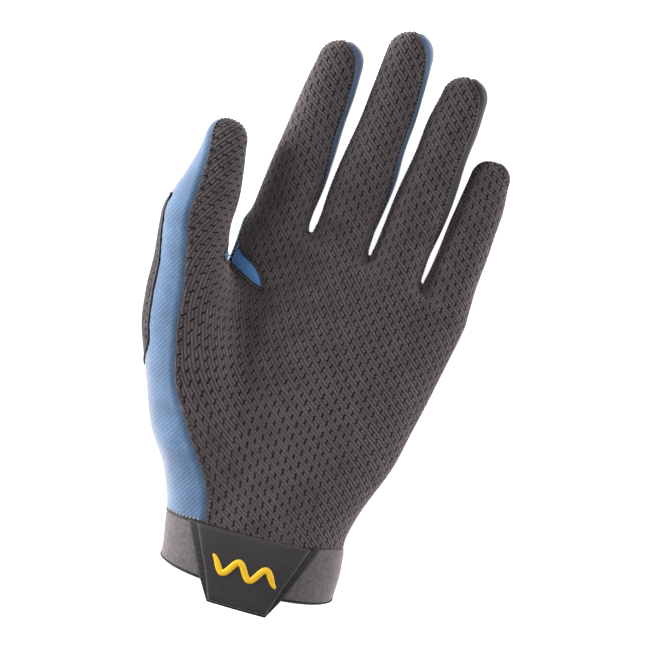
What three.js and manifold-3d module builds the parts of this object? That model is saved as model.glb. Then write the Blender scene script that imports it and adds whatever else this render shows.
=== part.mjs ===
// A full-finger sailing glove for the left hand, lying on its back with the palm up.
// Millimetres. +X runs from the thumb side to the little-finger side, +Y from the cuff to the
// fingertips and +Z out of the palm. The glove is drawn from the middle of its cuff and then
// shifted, so that the origin is the centre of the flat patch on the back that it rests on.
//
// The fabric is one hollow hand form, cut into the panels it is sewn from. Each digit is cut
// again where it bends: short stretch sleeves lie across the joints, with stiffer lengths between.

import * as THREE from "three";
import { mergeVertices } from "three/addons/utils/BufferGeometryUtils.js";
import Module from "manifold-3d";

const wasm = await Module();
wasm.setup();

// ---- driving dimensions -------------------------------------------------------------------

const FABRIC = 1.2; // fabric and its lining together
const SEAM_GAP = 0.4; // between two panels, along their seam
const BACK_FLAT = 1.2; // the back of the hand is flat at this height, over its rest patch
const FAR = 260; // longer than the glove

const CUFF_TOP = 14; // seam between the cuff and the hand
const CUFF_BOTTOM = -5;
const CUFF_WALL = 2.2; // folded neoprene
const HEM_HEIGHT = 1.4;
const HEM_PROUD = 0.35;
const BACK_SEAM_Z = 7; // the seam round the back panel

const REST_PATCH = { x: 4, y: 86, width: 52, length: 44, corner: 9, thick: 0.8 };

// Sections of a form along Y: centre x, half width, centre z, half height.
const WRIST_SECTIONS = [
  { y: -20, x: -0.6, w: 31.4, z: 21.2, h: 19.6 },
  { y: -2, x: -0.9, w: 32.0, z: 21.2, h: 19.8 },
  { y: 18, x: -2.1, w: 34.3, z: 21.2, h: 20.0 },
];

const PALM_SECTIONS = [
  { y: 2, x: -1.2, w: 32.6, z: 21.2, h: 20.0 },
  { y: 14, x: -1.9, w: 34.2, z: 21.2, h: 20.0 },
  { y: 30, x: 0.0, w: 33.0, z: 20.2, h: 19.0 },
  { y: 54, x: 2.5, w: 38.5, z: 16.9, h: 18.3 },
  { y: 78, x: 4.0, w: 42.0, z: 14.9, h: 16.3 },
  { y: 102, x: 4.5, w: 46.0, z: 13.2, h: 14.4 },
  { y: 118, x: 5.2, w: 46.3, z: 13.1, h: 12.6 },
];
const PALM_END = 6; // how far the rounded end of the palm goes past its last section
const KNUCKLE_SLANT = -0.17; // the knuckle line falls towards the little finger

// A digit's centre line and half width; `flat` is its thickness over its width, `bends` the
// lengths of its sleeves and stiff parts in turn from its root to its tip.
const DIGITS = {
  index: {
    root: 133,
    lean: 5,
    flat: 0.93,
    sections: [
      { y: 92, x: -24.5, z: 13.6, w: 8.0 },
      { y: 118, x: -27.3, z: 13.4, w: 12.0 },
      { y: 134, x: -26.0, z: 13.2, w: 11.2 },
      { y: 150, x: -24.6, z: 13.4, w: 11.1 },
      { y: 166, x: -23.2, z: 13.8, w: 10.3 },
      { y: 182, x: -21.6, z: 14.4, w: 9.8 },
      { y: 192, x: -20.9, z: 15.0, w: 9.2 },
    ],
    bends: [14, 14, 14, 7, 7, 14],
  },
  middle: {
    root: 133,
    lean: 4.5,
    flat: 0.93,
    sections: [
      { y: 100, x: -3.6, z: 14.4, w: 12.4 },
      { y: 118, x: -2.5, z: 13.4, w: 11.8 },
      { y: 134, x: -1.3, z: 13.2, w: 11.0 },
      { y: 154, x: 0.4, z: 13.4, w: 11.3 },
      { y: 168, x: 1.4, z: 13.8, w: 10.3 },
      { y: 184, x: 2.6, z: 14.4, w: 9.8 },
      { y: 202, x: 3.6, z: 15.4, w: 9.2 },
    ],
    bends: [14, 18, 14, 9, 7, 17],
  },
  ring: {
    root: 129,
    lean: 5.5,
    flat: 0.93,
    sections: [
      { y: 98, x: 18.2, z: 14.4, w: 12.2 },
      { y: 114, x: 19.6, z: 13.5, w: 11.4 },
      { y: 130, x: 21.2, z: 13.2, w: 10.4 },
      { y: 152, x: 23.6, z: 13.4, w: 10.6 },
      { y: 168, x: 25.2, z: 13.8, w: 9.7 },
      { y: 182, x: 26.5, z: 14.3, w: 9.6 },
      { y: 192, x: 27.4, z: 14.8, w: 9.0 },
    ],
    bends: [14, 15, 14, 8, 7, 16],
  },
  little: {
    root: 125,
    lean: 4.5,
    flat: 0.93,
    sections: [
      { y: 84, x: 36.0, z: 13.8, w: 6.5 },
      { y: 110, x: 41.0, z: 13.2, w: 10.4 },
      { y: 126, x: 42.5, z: 12.4, w: 9.5 },
      { y: 144, x: 44.2, z: 12.4, w: 8.9 },
      { y: 156, x: 45.2, z: 12.7, w: 8.5 },
      { y: 166, x: 45.5, z: 13.0, w: 7.6 },
    ],
    bends: [11, 5.5, 12, 5, 5.5, 12],
  },
  thumb: {
    root: 115,
    lean: -2,
    flat: 0.94,
    sections: [
      { y: 16, x: -17.0, z: 21.5, w: 18.4 },
      { y: 30, x: -23.0, z: 22.0, w: 18.6 },
      { y: 42, x: -30.5, z: 22.3, w: 18.9 },
      { y: 54, x: -37.0, z: 22.5, w: 18.6 },
      { y: 66, x: -42.6, z: 22.8, w: 18.0 },
      { y: 78, x: -47.6, z: 23.0, w: 17.6 },
      { y: 90, x: -50.7, z: 23.3, w: 16.4 },
      { y: 102, x: -52.6, z: 23.7, w: 15.0 },
      { y: 114, x: -54.9, z: 24.2, w: 13.7 },
      { y: 122, x: -56.2, z: 24.6, w: 13.2 },
      { y: 130, x: -55.2, z: 25.0, w: 12.5 },
      { y: 138, x: -53.7, z: 25.5, w: 11.1 },
      { y: 146, x: -53.0, z: 26.0, w: 9.7 },
      { y: 151, x: -53.3, z: 26.3, w: 9.0 },
    ],
    bends: [12, 6, 10, 20],
  },
};

// Seams round a finger, as angles from the top of the palm side towards the little finger.
const PALM_SEAM_LEFT = -95;
const PALM_SEAM_RIGHT = 52;
const BACK_SEAM_RIGHT = 115;
const THUMB_SEAM_LEFT = -24;
const THUMB_SEAM_BACK = 120;

// Where the palm fabric meets the stretch panel of the thumb side, from the cuff up.
const THUMB_SIDE_SEAM = [
  [-21.5, -20],
  [-21.8, 14],
  [-26, 29],
  [-31.5, 38],
  [-40, 50],
  [-46, 59],
  [-50.5, 72],
  [-52.8, 86],
  [-55.6, 104],
  [-59, 119],
];

// The leaf-shaped gusset let into the fold between thumb and palm.
const GUSSET = { from: [-44, 113.5], to: [-25.5, 103], bulge: 3.4 };

// The moulded pull tab, sewn over the palm side of the cuff: a trapezium narrowing downwards.
const TAB = { x: -1.5, top: 12.6, bottom: -15, halfTop: 22.6, halfBottom: 11.4, flange: 1.2 };
const TAB_FACE_INSET = 2.6;
const TAB_FACE = 1.1;
const EMBLEM = { y: 1.5, width: 24, rise: 3.2, line: 1.9, waves: 3, thick: 0.5 };

const COLOURS = {
  palmFabric: 0x4a4345,
  blueStretch: 0x4f84b8,
  darkStretch: 0x3d393b,
  neoprene: 0x6f676a,
  rubber: 0x2c2b2d,
  yellow: 0xf4c20d,
};

// ---- solids -------------------------------------------------------------------------------

// A closed three.js geometry as a solid that can be joined and cut.
function solidOf(geometry) {
  const bare = new THREE.BufferGeometry();
  bare.setAttribute("position", geometry.getAttribute("position"));
  bare.setIndex(geometry.index);
  const merged = mergeVertices(bare, 1e-3);
  const index = merged.index.array;
  const triangles = [];
  for (let i = 0; i < index.length; i += 3) {
    const [a, b, c] = index.subarray(i, i + 3);
    if (a !== b && b !== c && c !== a) triangles.push(a, b, c);
  }
  const made = new wasm.Manifold(
    new wasm.Mesh({
      numProp: 3,
      vertProperties: merged.attributes.position.array,
      triVerts: new Uint32Array(triangles),
    }),
  );
  if (made.volume() > 0) return made;
  for (let i = 0; i < triangles.length; i += 3)
    [triangles[i], triangles[i + 1]] = [triangles[i + 1], triangles[i]];
  return new wasm.Manifold(
    new wasm.Mesh({
      numProp: 3,
      vertProperties: merged.attributes.position.array,
      triVerts: new Uint32Array(triangles),
    }),
  );
}

// The largest connected part of a solid, as a three.js geometry: slivers of a cut are left out.
function geometryOf(solid) {
  const whole = solid.decompose().sort((a, b) => b.volume() - a.volume())[0];
  const mesh = whole.getMesh();
  const geometry = new THREE.BufferGeometry();
  geometry.setAttribute("position", new THREE.BufferAttribute(mesh.vertProperties, mesh.numProp));
  geometry.setIndex(new THREE.BufferAttribute(mesh.triVerts, 1));
  geometry.computeVertexNormals();
  return geometry;
}

const joined = (solids) => solids.reduce((a, b) => a.add(b));

// A tube along Y through its sections, from a unit lathe whose rings are stretched to each
// section. `power` squares it off, `end` rounds its far end over that length.
function tube(sections, { around, power = 2, end = 0, endRings = 3, slant = 0 }) {
  const rings = sections.map((s) => ({ ...s, scale: 1 }));
  const last = sections[sections.length - 1];
  for (let i = 1; i <= endRings && end; i++) {
    const turn = (i / (endRings + 1)) * (Math.PI / 2);
    rings.push({ ...last, y: last.y + end * Math.sin(turn), scale: Math.cos(turn) });
  }
  const first = rings[0];
  const profile = [new THREE.Vector2(0, 0), ...rings.map((_, i) => new THREE.Vector2(1, i))];
  profile.push(new THREE.Vector2(0, rings.length));
  const geometry = new THREE.LatheGeometry(profile, around);
  const position = geometry.getAttribute("position");
  for (let i = 0; i < position.count; i++) {
    const level = Math.round(position.getY(i));
    const onAxis = Math.hypot(position.getX(i), position.getZ(i)) < 0.5;
    const past = level >= rings.length;
    const ring = past ? rings[rings.length - 1] : onAxis ? first : rings[level];
    const squared = (t) => Math.sign(t) * Math.abs(t) ** (2 / power);
    const x = ring.x + squared(position.getX(i)) * ring.w * ring.scale;
    const z = ring.z + squared(position.getZ(i)) * ring.h * ring.scale;
    const y = past ? last.y + end : ring.y;
    position.setXYZ(i, x, y + slant * (x - last.x) * (y > last.y - 1 ? 1 : 0), z);
  }
  return solidOf(geometry);
}

// A flat outline in XY as a solid between two heights.
function plate(points, low, high) {
  const shape = new THREE.Shape(points.map(([x, y]) => new THREE.Vector2(x, y)));
  const geometry = new THREE.ExtrudeGeometry(shape, { depth: high - low, bevelEnabled: false });
  geometry.translate(0, 0, low);
  return solidOf(geometry);
}

function block(x0, x1, y0, y1, z0, z1) {
  const geometry = new THREE.BoxGeometry(x1 - x0, y1 - y0, z1 - z0);
  geometry.translate((x0 + x1) / 2, (y0 + y1) / 2, (z0 + z1) / 2);
  return solidOf(geometry);
}

// ---- forms: `grow` moves the surface out, or in when it is negative -------------------------

const grown = (sections, grow) => sections.map((s) => ({ ...s, w: s.w + grow, h: s.h + grow }));

const wristForm = (grow) => tube(grown(WRIST_SECTIONS, grow), { around: 28, power: 2.3 });

const palmForm = (grow) =>
  tube(grown(PALM_SECTIONS, grow), {
    around: 28,
    power: 2.4,
    end: PALM_END + grow,
    endRings: 2,
    slant: KNUCKLE_SLANT,
  });

function digitForm(digit, grow) {
  const sections = digit.sections.map((s) => ({ ...s, h: s.w * digit.flat }));
  const tip = sections[sections.length - 1];
  return tube(grown(sections, grow), { around: 12, end: tip.w + grow, endRings: 2 });
}

const digits = Object.entries(DIGITS);

function handForm(grow) {
  const whole = joined([palmForm(grow), ...digits.map(([, digit]) => digitForm(digit, grow))]);
  return whole.intersect(block(-FAR, FAR, -FAR, FAR, BACK_FLAT - grow, FAR));
}

// ---- the digits' own frames ---------------------------------------------------------------

// The middle of a digit at a height, taken from its sections.
function middleAt(digit, y) {
  const after = digit.sections.findIndex((s) => s.y >= y);
  const [a, b] = [digit.sections[after - 1], digit.sections[after]];
  const t = (y - a.y) / (b.y - a.y);
  return new THREE.Vector3(a.x + t * (b.x - a.x), y, a.z + t * (b.z - a.z));
}

// From a digit's own frame, with its root at the origin and itself along +Y, to the glove's.
function digitFrame(digit) {
  const turn = new THREE.Matrix4().makeRotationZ(THREE.MathUtils.degToRad(-digit.lean));
  return turn.setPosition(middleAt(digit, digit.root));
}

const inDigit = (digit, geometry) => solidOf(geometry.applyMatrix4(digitFrame(digit)));

// The space between two distances along a digit.
function lengthOf(digit, from, to) {
  const geometry = new THREE.BoxGeometry(60, to - from, 80);
  return inDigit(digit, geometry.translate(0, (from + to) / 2, 0));
}

// The space between two seam angles round a digit.
function sectorOf(digit, from, to) {
  const reach = 40;
  const halfGap = SEAM_GAP / 2;
  const shape = new THREE.Shape();
  const middle = THREE.MathUtils.degToRad((from + to) / 2);
  const start = [halfGap * Math.sin(middle), halfGap * Math.cos(middle)];
  const inset = THREE.MathUtils.radToDeg(halfGap / 11);
  shape.moveTo(start[0], start[1]);
  const steps = Math.ceil((to - from) / 30);
  for (let i = 0; i <= steps; i++) {
    const angle = from + inset + ((to - from - 2 * inset) * i) / steps;
    const turn = THREE.MathUtils.degToRad(angle);
    shape.lineTo(reach * Math.sin(turn), reach * Math.cos(turn));
  }
  const geometry = new THREE.ExtrudeGeometry(shape, { depth: 2 * FAR, bevelEnabled: false });
  geometry.rotateX(Math.PI / 2).translate(0, FAR, 0);
  return inDigit(digit, geometry);
}

// ---- the glove ----------------------------------------------------------------------------

const glove = new THREE.Group();
const shifted = new THREE.Group();
shifted.position.set(-REST_PATCH.x, -REST_PATCH.y, 0);
glove.add(shifted);

function addPiece(name, solid, colour, roughness = 0.85) {
  const material = new THREE.MeshStandardMaterial({ color: colour, roughness, metalness: 0 });
  const mesh = new THREE.Mesh(geometryOf(solid), material);
  mesh.name = name;
  shifted.add(mesh);
}

// Sleeves and stiff parts in turn, from the root to the tip. Each sleeve lies over one joint.
function addDigit(name, digit) {
  const skin = digitForm(digit, 0).subtract(digitForm(digit, -FABRIC));
  const isThumb = name === "thumb";
  const isBlue = name === "index" || name === "middle" || isThumb;
  const sideColour = isBlue ? COLOURS.blueStretch : COLOURS.darkStretch;
  const stiffNames = isThumb ? ["proximal", "tip"] : ["proximal", "middle", "tip"];
  const sleeveNames = isThumb ? ["base", "tip"] : ["knuckle", "middle", "tip"];
  let along = 0;
  digit.bends.forEach((length, i) => {
    const from = along + SEAM_GAP / 2;
    along += length;
    const isLast = i === digit.bends.length - 1;
    const part = skin.intersect(lengthOf(digit, from, isLast ? FAR : along - SEAM_GAP / 2));
    if (i % 2 === 0) {
      addPiece(`${name}_${sleeveNames[i / 2]}_sleeve`, part, COLOURS.palmFabric);
      return;
    }
    const place = `${name}_${stiffNames[(i - 1) / 2]}`;
    const cut = (start, end) => part.intersect(sectorOf(digit, start, end));
    if (isThumb) {
      addPiece(`${place}_palm`, cut(THUMB_SEAM_LEFT, THUMB_SEAM_BACK), COLOURS.palmFabric);
      addPiece(`${place}_side`, cut(THUMB_SEAM_BACK, 360 + THUMB_SEAM_LEFT), sideColour);
      return;
    }
    addPiece(`${place}_palm`, cut(PALM_SEAM_LEFT, PALM_SEAM_RIGHT), COLOURS.palmFabric);
    const hasFourchette = i === 1;
    if (hasFourchette)
      addPiece(`${name}_fourchette`, cut(PALM_SEAM_RIGHT, BACK_SEAM_RIGHT), sideColour);
    const backStart = hasFourchette ? BACK_SEAM_RIGHT : PALM_SEAM_RIGHT;
    addPiece(`${place}_back`, cut(backStart, 360 + PALM_SEAM_LEFT), sideColour);
  });
}

// Everything below the digits' roots and above the cuff.
function handSpace() {
  const bounds = [-FAR, -40.6, -13.4, 9.9, 32, FAR];
  const order = ["thumb", "index", "middle", "ring", "little"];
  const above = order.map((name, i) => {
    const digit = DIGITS[name];
    const middle = middleAt(digit, digit.root);
    const band = block(bounds[i] - middle.x, bounds[i + 1] - middle.x, 0, FAR, -FAR, FAR);
    const turn = new THREE.Matrix4().makeRotationZ(THREE.MathUtils.degToRad(-digit.lean));
    return band.transform(turn.elements).translate([middle.x, middle.y, 0]);
  });
  return block(-FAR, FAR, CUFF_TOP + SEAM_GAP, FAR, -FAR, FAR).subtract(joined(above));
}

function sideSeamSpace(shift, farX) {
  const line = THUMB_SIDE_SEAM.map(([x, y]) => [x + shift, y]);
  const [topX] = line[line.length - 1];
  return plate([...line, [topX, FAR], [farX, FAR], [farX, line[0][1]]], -FAR, FAR);
}

function gussetOutline(grow) {
  const curve = (side) =>
    new THREE.QuadraticBezierCurve(
      new THREE.Vector2(...GUSSET.from),
      new THREE.Vector2(
        (GUSSET.from[0] + GUSSET.to[0]) / 2 + side * 0.5 * (GUSSET.bulge + grow),
        (GUSSET.from[1] + GUSSET.to[1]) / 2 + side * (GUSSET.bulge + grow),
      ),
      new THREE.Vector2(GUSSET.to[0] + grow, GUSSET.to[1] - grow),
    ).getPoints(6);
  const upper = curve(1);
  const lower = curve(-1).reverse();
  return [...upper, ...lower.slice(1, -1)].map((p) => [p.x, p.y]);
}

function addHand() {
  const inside = handForm(-FABRIC).add(wristForm(-FABRIC - 1));
  const shell = handForm(0).subtract(inside).intersect(handSpace());
  const upper = shell.intersect(block(-FAR, FAR, -FAR, FAR, BACK_SEAM_Z + SEAM_GAP / 2, FAR));
  const lower = shell.intersect(block(-FAR, FAR, -FAR, FAR, -FAR, BACK_SEAM_Z - SEAM_GAP / 2));
  const gusset = plate(gussetOutline(0), BACK_SEAM_Z + 4, FAR);
  const gussetHole = plate(gussetOutline(SEAM_GAP), BACK_SEAM_Z + 4 - SEAM_GAP, FAR);
  const palmSide = upper.intersect(sideSeamSpace(0.3, FAR));
  const thumbSide = upper.intersect(sideSeamSpace(-0.3, -FAR));
  addPiece("palm_panel", palmSide.subtract(gussetHole), COLOURS.palmFabric);
  addPiece("thumb_side_panel", thumbSide, COLOURS.blueStretch);
  addPiece("thumb_gusset", palmSide.intersect(gusset), COLOURS.blueStretch);
  addPiece("back_panel", lower, COLOURS.blueStretch);
  const patchSpace = block(-FAR, -54, 66, DIGITS.thumb.root - 3, 8, 31);
  const overThumb = digitForm(DIGITS.thumb, 1.5).subtract(digitForm(DIGITS.thumb, 0.4));
  addPiece("thumb_back_patch", overThumb.intersect(patchSpace), COLOURS.palmFabric);
}

// The flat mesh patch on the back of the hand, which the glove rests on.
function addRestPatch() {
  const { x, y, width, length, corner, thick } = REST_PATCH;
  const [w, l] = [width / 2, length / 2];
  const shape = new THREE.Shape();
  shape.moveTo(-w + corner, -l);
  shape.lineTo(w - corner, -l).absarc(w - corner, -l + corner, corner, -Math.PI / 2, 0);
  shape.lineTo(w, l - corner).absarc(w - corner, l - corner, corner, 0, Math.PI / 2);
  shape.lineTo(-w + corner, l).absarc(-w + corner, l - corner, corner, Math.PI / 2, Math.PI);
  shape.lineTo(-w, -l + corner);
  shape.absarc(-w + corner, -l + corner, corner, Math.PI, 1.5 * Math.PI);
  const options = { depth: thick, bevelEnabled: false, curveSegments: 5 };
  const geometry = new THREE.ExtrudeGeometry(shape, options).translate(x, y, 0);
  addPiece("back_patch", solidOf(geometry), COLOURS.palmFabric);
}

function tabOutline(inset, topInset) {
  const slope = (TAB.halfTop - TAB.halfBottom) / (TAB.top - TAB.bottom);
  const [top, bottom] = [TAB.top - topInset, TAB.bottom + inset];
  const half = (y) => TAB.halfBottom + slope * (y - TAB.bottom) - inset * Math.hypot(1, slope);
  const row = (y) => [TAB.x - half(y), TAB.x + half(y)];
  return [
    [row(bottom)[0], bottom],
    [row(bottom)[1], bottom],
    [row(top)[1], top],
    [row(top)[0], top],
  ];
}

// A wave: one zigzag band with rounded bends, as wide as EMBLEM says.
function waveOutline() {
  const steps = EMBLEM.waves * 8;
  const wave = (side) =>
    Array.from({ length: steps + 1 }, (_, i) => {
      const t = i / steps;
      const swing = (EMBLEM.rise / 2) * Math.cos(2 * Math.PI * EMBLEM.waves * t);
      return [TAB.x + EMBLEM.width * (t - 0.5), EMBLEM.y + swing + (side * EMBLEM.line) / 2];
    });
  return [...wave(-1), ...wave(1).reverse()];
}

function addCuff() {
  const ring = wristForm(0).subtract(wristForm(-CUFF_WALL));
  const band = ring.intersect(block(-FAR, FAR, CUFF_BOTTOM, CUFF_TOP, -FAR, FAR));
  const [left, right] = [TAB.x - TAB.halfTop - 2, TAB.x + TAB.halfTop + 2];
  const { z } = WRIST_SECTIONS[1];
  const insertSpace = block(left, right, -FAR, FAR, z, FAR);
  const gapSpace = block(left - SEAM_GAP, right + SEAM_GAP, -FAR, FAR, z, FAR);
  const sides = band.subtract(gapSpace);
  const halfGap = SEAM_GAP / 2;
  const leftHalf = block(-FAR, TAB.x - halfGap, -FAR, FAR, -FAR, FAR);
  const rightHalf = block(TAB.x + halfGap, FAR, -FAR, FAR, -FAR, FAR);
  addPiece("cuff_thumb_side", sides.intersect(leftHalf), COLOURS.neoprene, 0.7);
  addPiece("cuff_little_side", sides.intersect(rightHalf), COLOURS.neoprene, 0.7);
  addPiece("cuff_insert", band.intersect(insertSpace), COLOURS.darkStretch);
  const hemTop = CUFF_BOTTOM - SEAM_GAP;
  const hem = wristForm(HEM_PROUD).subtract(wristForm(-CUFF_WALL - HEM_PROUD));
  const hemSpace = block(-FAR, FAR, hemTop - HEM_HEIGHT, hemTop, -FAR, FAR);
  const tabRoom = plate(tabOutline(-SEAM_GAP, 0), WRIST_SECTIONS[0].z, FAR);
  const tabDepth = wristForm(6).subtract(wristForm(0));
  const hemRing = hem.intersect(hemSpace).subtract(tabRoom.intersect(tabDepth));
  addPiece("cuff_hem", hemRing, COLOURS.rubber);
  const layer = (low, high, outline) =>
    wristForm(high)
      .subtract(wristForm(low))
      .intersect(plate(outline, z, FAR));
  const flangeTop = SEAM_GAP + TAB.flange;
  const faceTop = flangeTop + SEAM_GAP + TAB_FACE;
  const emblemLow = faceTop + SEAM_GAP;
  addPiece("pull_tab", layer(SEAM_GAP, flangeTop, tabOutline(0, 0)), COLOURS.rubber, 0.6);
  const faceOutline = tabOutline(TAB_FACE_INSET, 0.8);
  addPiece("tab_face", layer(flangeTop + SEAM_GAP, faceTop, faceOutline), COLOURS.rubber, 0.6);
  const emblem = layer(emblemLow, emblemLow + EMBLEM.thick, waveOutline());
  addPiece("tab_emblem", emblem, COLOURS.yellow, 0.5);
}

addHand();
addRestPatch();
addCuff();
digits.forEach(([name, digit]) => addDigit(name, digit));

export default glove;
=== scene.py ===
"""A full-finger sailing glove for the left hand, lying on its back with the palm up.

The glove is sewn from a ribbed, vented grip knit on the palm side and plain stretch fabric on the
sides and back, with a neoprene cuff and a moulded pull tab. Lengths are in millimetres from the
middle of the cuff, and put() moves them into the part's frame, in metres.
"""

import math

import bmesh
import bpy
import numpy as np
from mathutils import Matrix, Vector
from mathutils.kdtree import KDTree


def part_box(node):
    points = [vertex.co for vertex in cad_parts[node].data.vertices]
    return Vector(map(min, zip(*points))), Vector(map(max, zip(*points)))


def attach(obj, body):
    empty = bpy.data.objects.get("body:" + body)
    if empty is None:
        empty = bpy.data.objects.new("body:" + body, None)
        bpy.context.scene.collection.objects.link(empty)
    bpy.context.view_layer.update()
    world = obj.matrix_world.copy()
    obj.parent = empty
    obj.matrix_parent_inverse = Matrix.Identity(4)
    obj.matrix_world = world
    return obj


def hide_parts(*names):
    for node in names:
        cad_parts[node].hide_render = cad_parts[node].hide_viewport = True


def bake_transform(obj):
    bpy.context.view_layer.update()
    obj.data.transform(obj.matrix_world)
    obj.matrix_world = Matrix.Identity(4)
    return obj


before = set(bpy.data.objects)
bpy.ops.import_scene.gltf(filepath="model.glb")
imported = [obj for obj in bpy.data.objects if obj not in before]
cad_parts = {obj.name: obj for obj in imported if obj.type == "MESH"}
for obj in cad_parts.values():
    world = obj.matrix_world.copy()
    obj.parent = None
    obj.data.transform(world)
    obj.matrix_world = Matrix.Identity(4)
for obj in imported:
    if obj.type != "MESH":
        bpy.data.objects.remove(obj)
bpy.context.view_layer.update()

# ---- sizes ----------------------------------------------------------------------------------

ORIGIN = np.array([4.0, 86.0, 0.0])  # centre of the rest patch, from the middle of the cuff
GRID = 1.25  # spacing of the surface
FORM_LOW, FORM_HIGH = (-78.0, 8.0, -4.0), (60.0, 216.0, 47.0)  # corners of a box round the form
SHELL = 1.1  # fabric and lining
BACK_FLAT = 1.2  # the back of the hand is flat here, over its patch
BACK_SEAM = 7.0  # height of the seam round the back of the hand
CUFF_SEAM = 15.6  # distance of the seam round the top of the cuff
FINGER_POWER = 2.3  # the fingers' sections are a little squarer than ellipses

RIB_PITCH = 1.25  # between two ribs of the grip knit
RIB_STEP = 0.85  # between two points along a rib
RIB_RADIUS = 0.43
RIB_LIFT = 0.3  # the middle of a rib, over the ground of the knit
WEB_RADIUS = 0.4  # cross threads that fill the groove between two ribs
WEB_LIFT = 0.19
KNIT_DEPTH = 0.72  # from the glove's form down to the ground of the knit
# The vents are short slanting breaks in the ribs. Their pattern repeats with these two moves,
# each so many ribs across and so many millimetres along them.
VENT_MOVES = ((0.5, 3.3), (2.5, -0.6))
VENT_SLANT = 0.9  # how far along a vent shifts from one rib to the next
VENT_REACH = 0.56  # ribs and cross threads this near to a vent's middle are broken by it
VENT_GAP = 0.84  # length of the break
SHORTEST_YARN = 0.5  # a shorter stretch between two vents is left out
STITCH_PITCH = 1.6
STITCH_LENGTH = 0.9
STITCH_RADIUS = 0.33
STITCH_INSET = 1.1  # from the seam
SECOND_ROW = 1.3  # from the first row of stitches, on the little finger's tip

# Cords: their radius, and the height of their middle over the glove's form.
KNIT_EDGE = (0.34, -0.45)
GUSSET_CORD = (0.26, -0.3)
PATCH_CORD = (0.5, 0.15)
CUFF_CORD = (0.42, -0.35)

TUCK_RADIUS = 0.42
TUCK_SHIFTS = (-5.2, -3.4, -1.6, 1.6, 3.4, 5.2)  # from a joint's middle, along the finger
TUCK_TURNS = (122, 238)  # where tucks begin and end round the finger, in degrees
TUCK_POINTS = 25

# Sections of the palm: y, middle x, half width, middle z, half height.
PALM = [
    (2, -1.2, 32.6, 21.2, 20.0),
    (14, -1.9, 33.9, 21.2, 20.0),
    (22, -2.4, 33.6, 20.9, 19.8),
    (30, -0.1, 32.8, 20.2, 19.2),
    (54, 2.5, 38.5, 17.4, 17.8),
    (78, 4.0, 42.0, 15.2, 16.0),
    (102, 4.5, 46.0, 13.4, 14.0),
    (118, 6.3, 45.1, 12.9, 12.2),
]
PALM_END = 6.0  # how far the palm goes past its last section
PALM_POWER = 2.4
KNUCKLE_SLANT = -0.17  # the palm ends lower towards the little finger

# Each digit: root height, lean in degrees, thickness over width, sections (y, x, z, half width),
# how far its tip goes past the last one, and the lengths of its sleeves and stiff parts in turn.
DIGITS = {
    "thumb": (115, -2, 0.94, [
        (16, -17.0, 21.5, 18.4), (30, -23.0, 22.0, 18.6), (42, -30.5, 22.3, 18.9),
        (54, -36.4, 22.5, 18.3), (66, -41.8, 22.8, 17.6), (78, -46.6, 23.0, 17.0),
        (90, -49.6, 23.3, 15.8), (102, -51.7, 23.7, 14.5), (114, -54.2, 24.2, 13.2),
        (122, -55.1, 24.6, 12.9), (130, -54.1, 25.0, 12.0), (138, -53.0, 25.5, 10.4),
        (146, -52.5, 26.0, 8.8), (151, -52.8, 26.3, 8.0)], 8.6, (12, 6, 10, 20)),
    "index": (133, 5, 0.93, [
        (92, -24.5, 13.6, 8.0), (118, -26.9, 13.4, 12.0), (134, -25.9, 13.2, 11.2),
        (150, -24.6, 13.4, 11.1), (166, -23.2, 13.8, 10.3), (182, -21.7, 14.4, 9.6),
        (192, -21.0, 15.0, 8.8)], 9.0, (14, 14, 14, 7, 7, 14)),
    "middle": (133, 4.5, 0.93, [
        (100, -3.6, 14.4, 12.4), (118, -2.5, 13.4, 11.8), (134, -1.5, 13.2, 10.8),
        (154, 0.4, 13.4, 11.3), (168, 1.4, 13.8, 10.3), (184, 2.6, 14.4, 9.8),
        (202, 3.5, 15.4, 8.9)], 9.3, (14, 18, 14, 9, 7, 17)),
    "ring": (129, 5.5, 0.93, [
        (98, 18.2, 14.4, 12.2), (114, 19.6, 13.5, 11.4), (130, 21.3, 13.2, 10.3),
        (152, 23.6, 13.4, 10.6), (168, 25.2, 13.8, 9.7), (182, 26.5, 14.3, 9.6),
        (192, 27.4, 14.8, 8.7)], 8.7, (14, 15, 14, 8, 7, 16)),
    "little": (125, 4.5, 0.93, [
        (84, 36.0, 13.8, 6.5), (110, 41.0, 13.2, 10.4), (126, 42.5, 12.4, 9.5),
        (144, 44.2, 12.4, 8.9), (156, 45.2, 12.7, 8.5), (166, 45.4, 13.0, 7.3)],
        7.3, (11, 5.5, 12, 5, 5.5, 12)),
}
# The lines that part one digit from the next, from the thumb on: x at y = 130, and its slope.
PARTINGS = [(-999, 0), (-40.6, 0), (-13.8, 0.075), (10.3, 0.086), (32.5, 0.115), (999, 0)]

# Seams round the digits: distance from the root, left angle, right angle, in degrees from the
# top of the palm side towards the little finger.
PANEL_SEAMS = {
    "thumb": [(0, -9, 120), (6, -10, 120), (19, -18, 120), (26, -27, 120), (34, -39, 115),
              (44, -58, 100)],
    "index": [(0, -92, 100), (22, -95, 62), (48, -95, 54), (58, -95, 48), (64, -95, 34),
              (68, -95, 2)],
    "middle": [(0, -98, 100), (22, -95, 62), (56, -95, 57), (67, -95, 50), (73, -95, 34),
               (78, -95, 2)],
    "ring": [(0, -98, 98), (18, -98, 58), (50, -98, 50), (61, -98, 46), (67, -98, 32),
             (72, -98, 0)],
    "little": [(0, -98, 98), (20, -84, 100), (36, -80, 98), (43, -72, 62), (48, -60, 20)],
}

# The seam between palm and thumb side, from the cuff to the thumb's root: y, x.
SIDE_SEAM = [(0, -19.8), (14, -20.1), (29, -23.8), (38, -29.8), (50, -38.2), (59, -43.8),
             (72, -47.8), (84, -50.3), (92, -51.2), (104, -53.6), (119, -57)]
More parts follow.
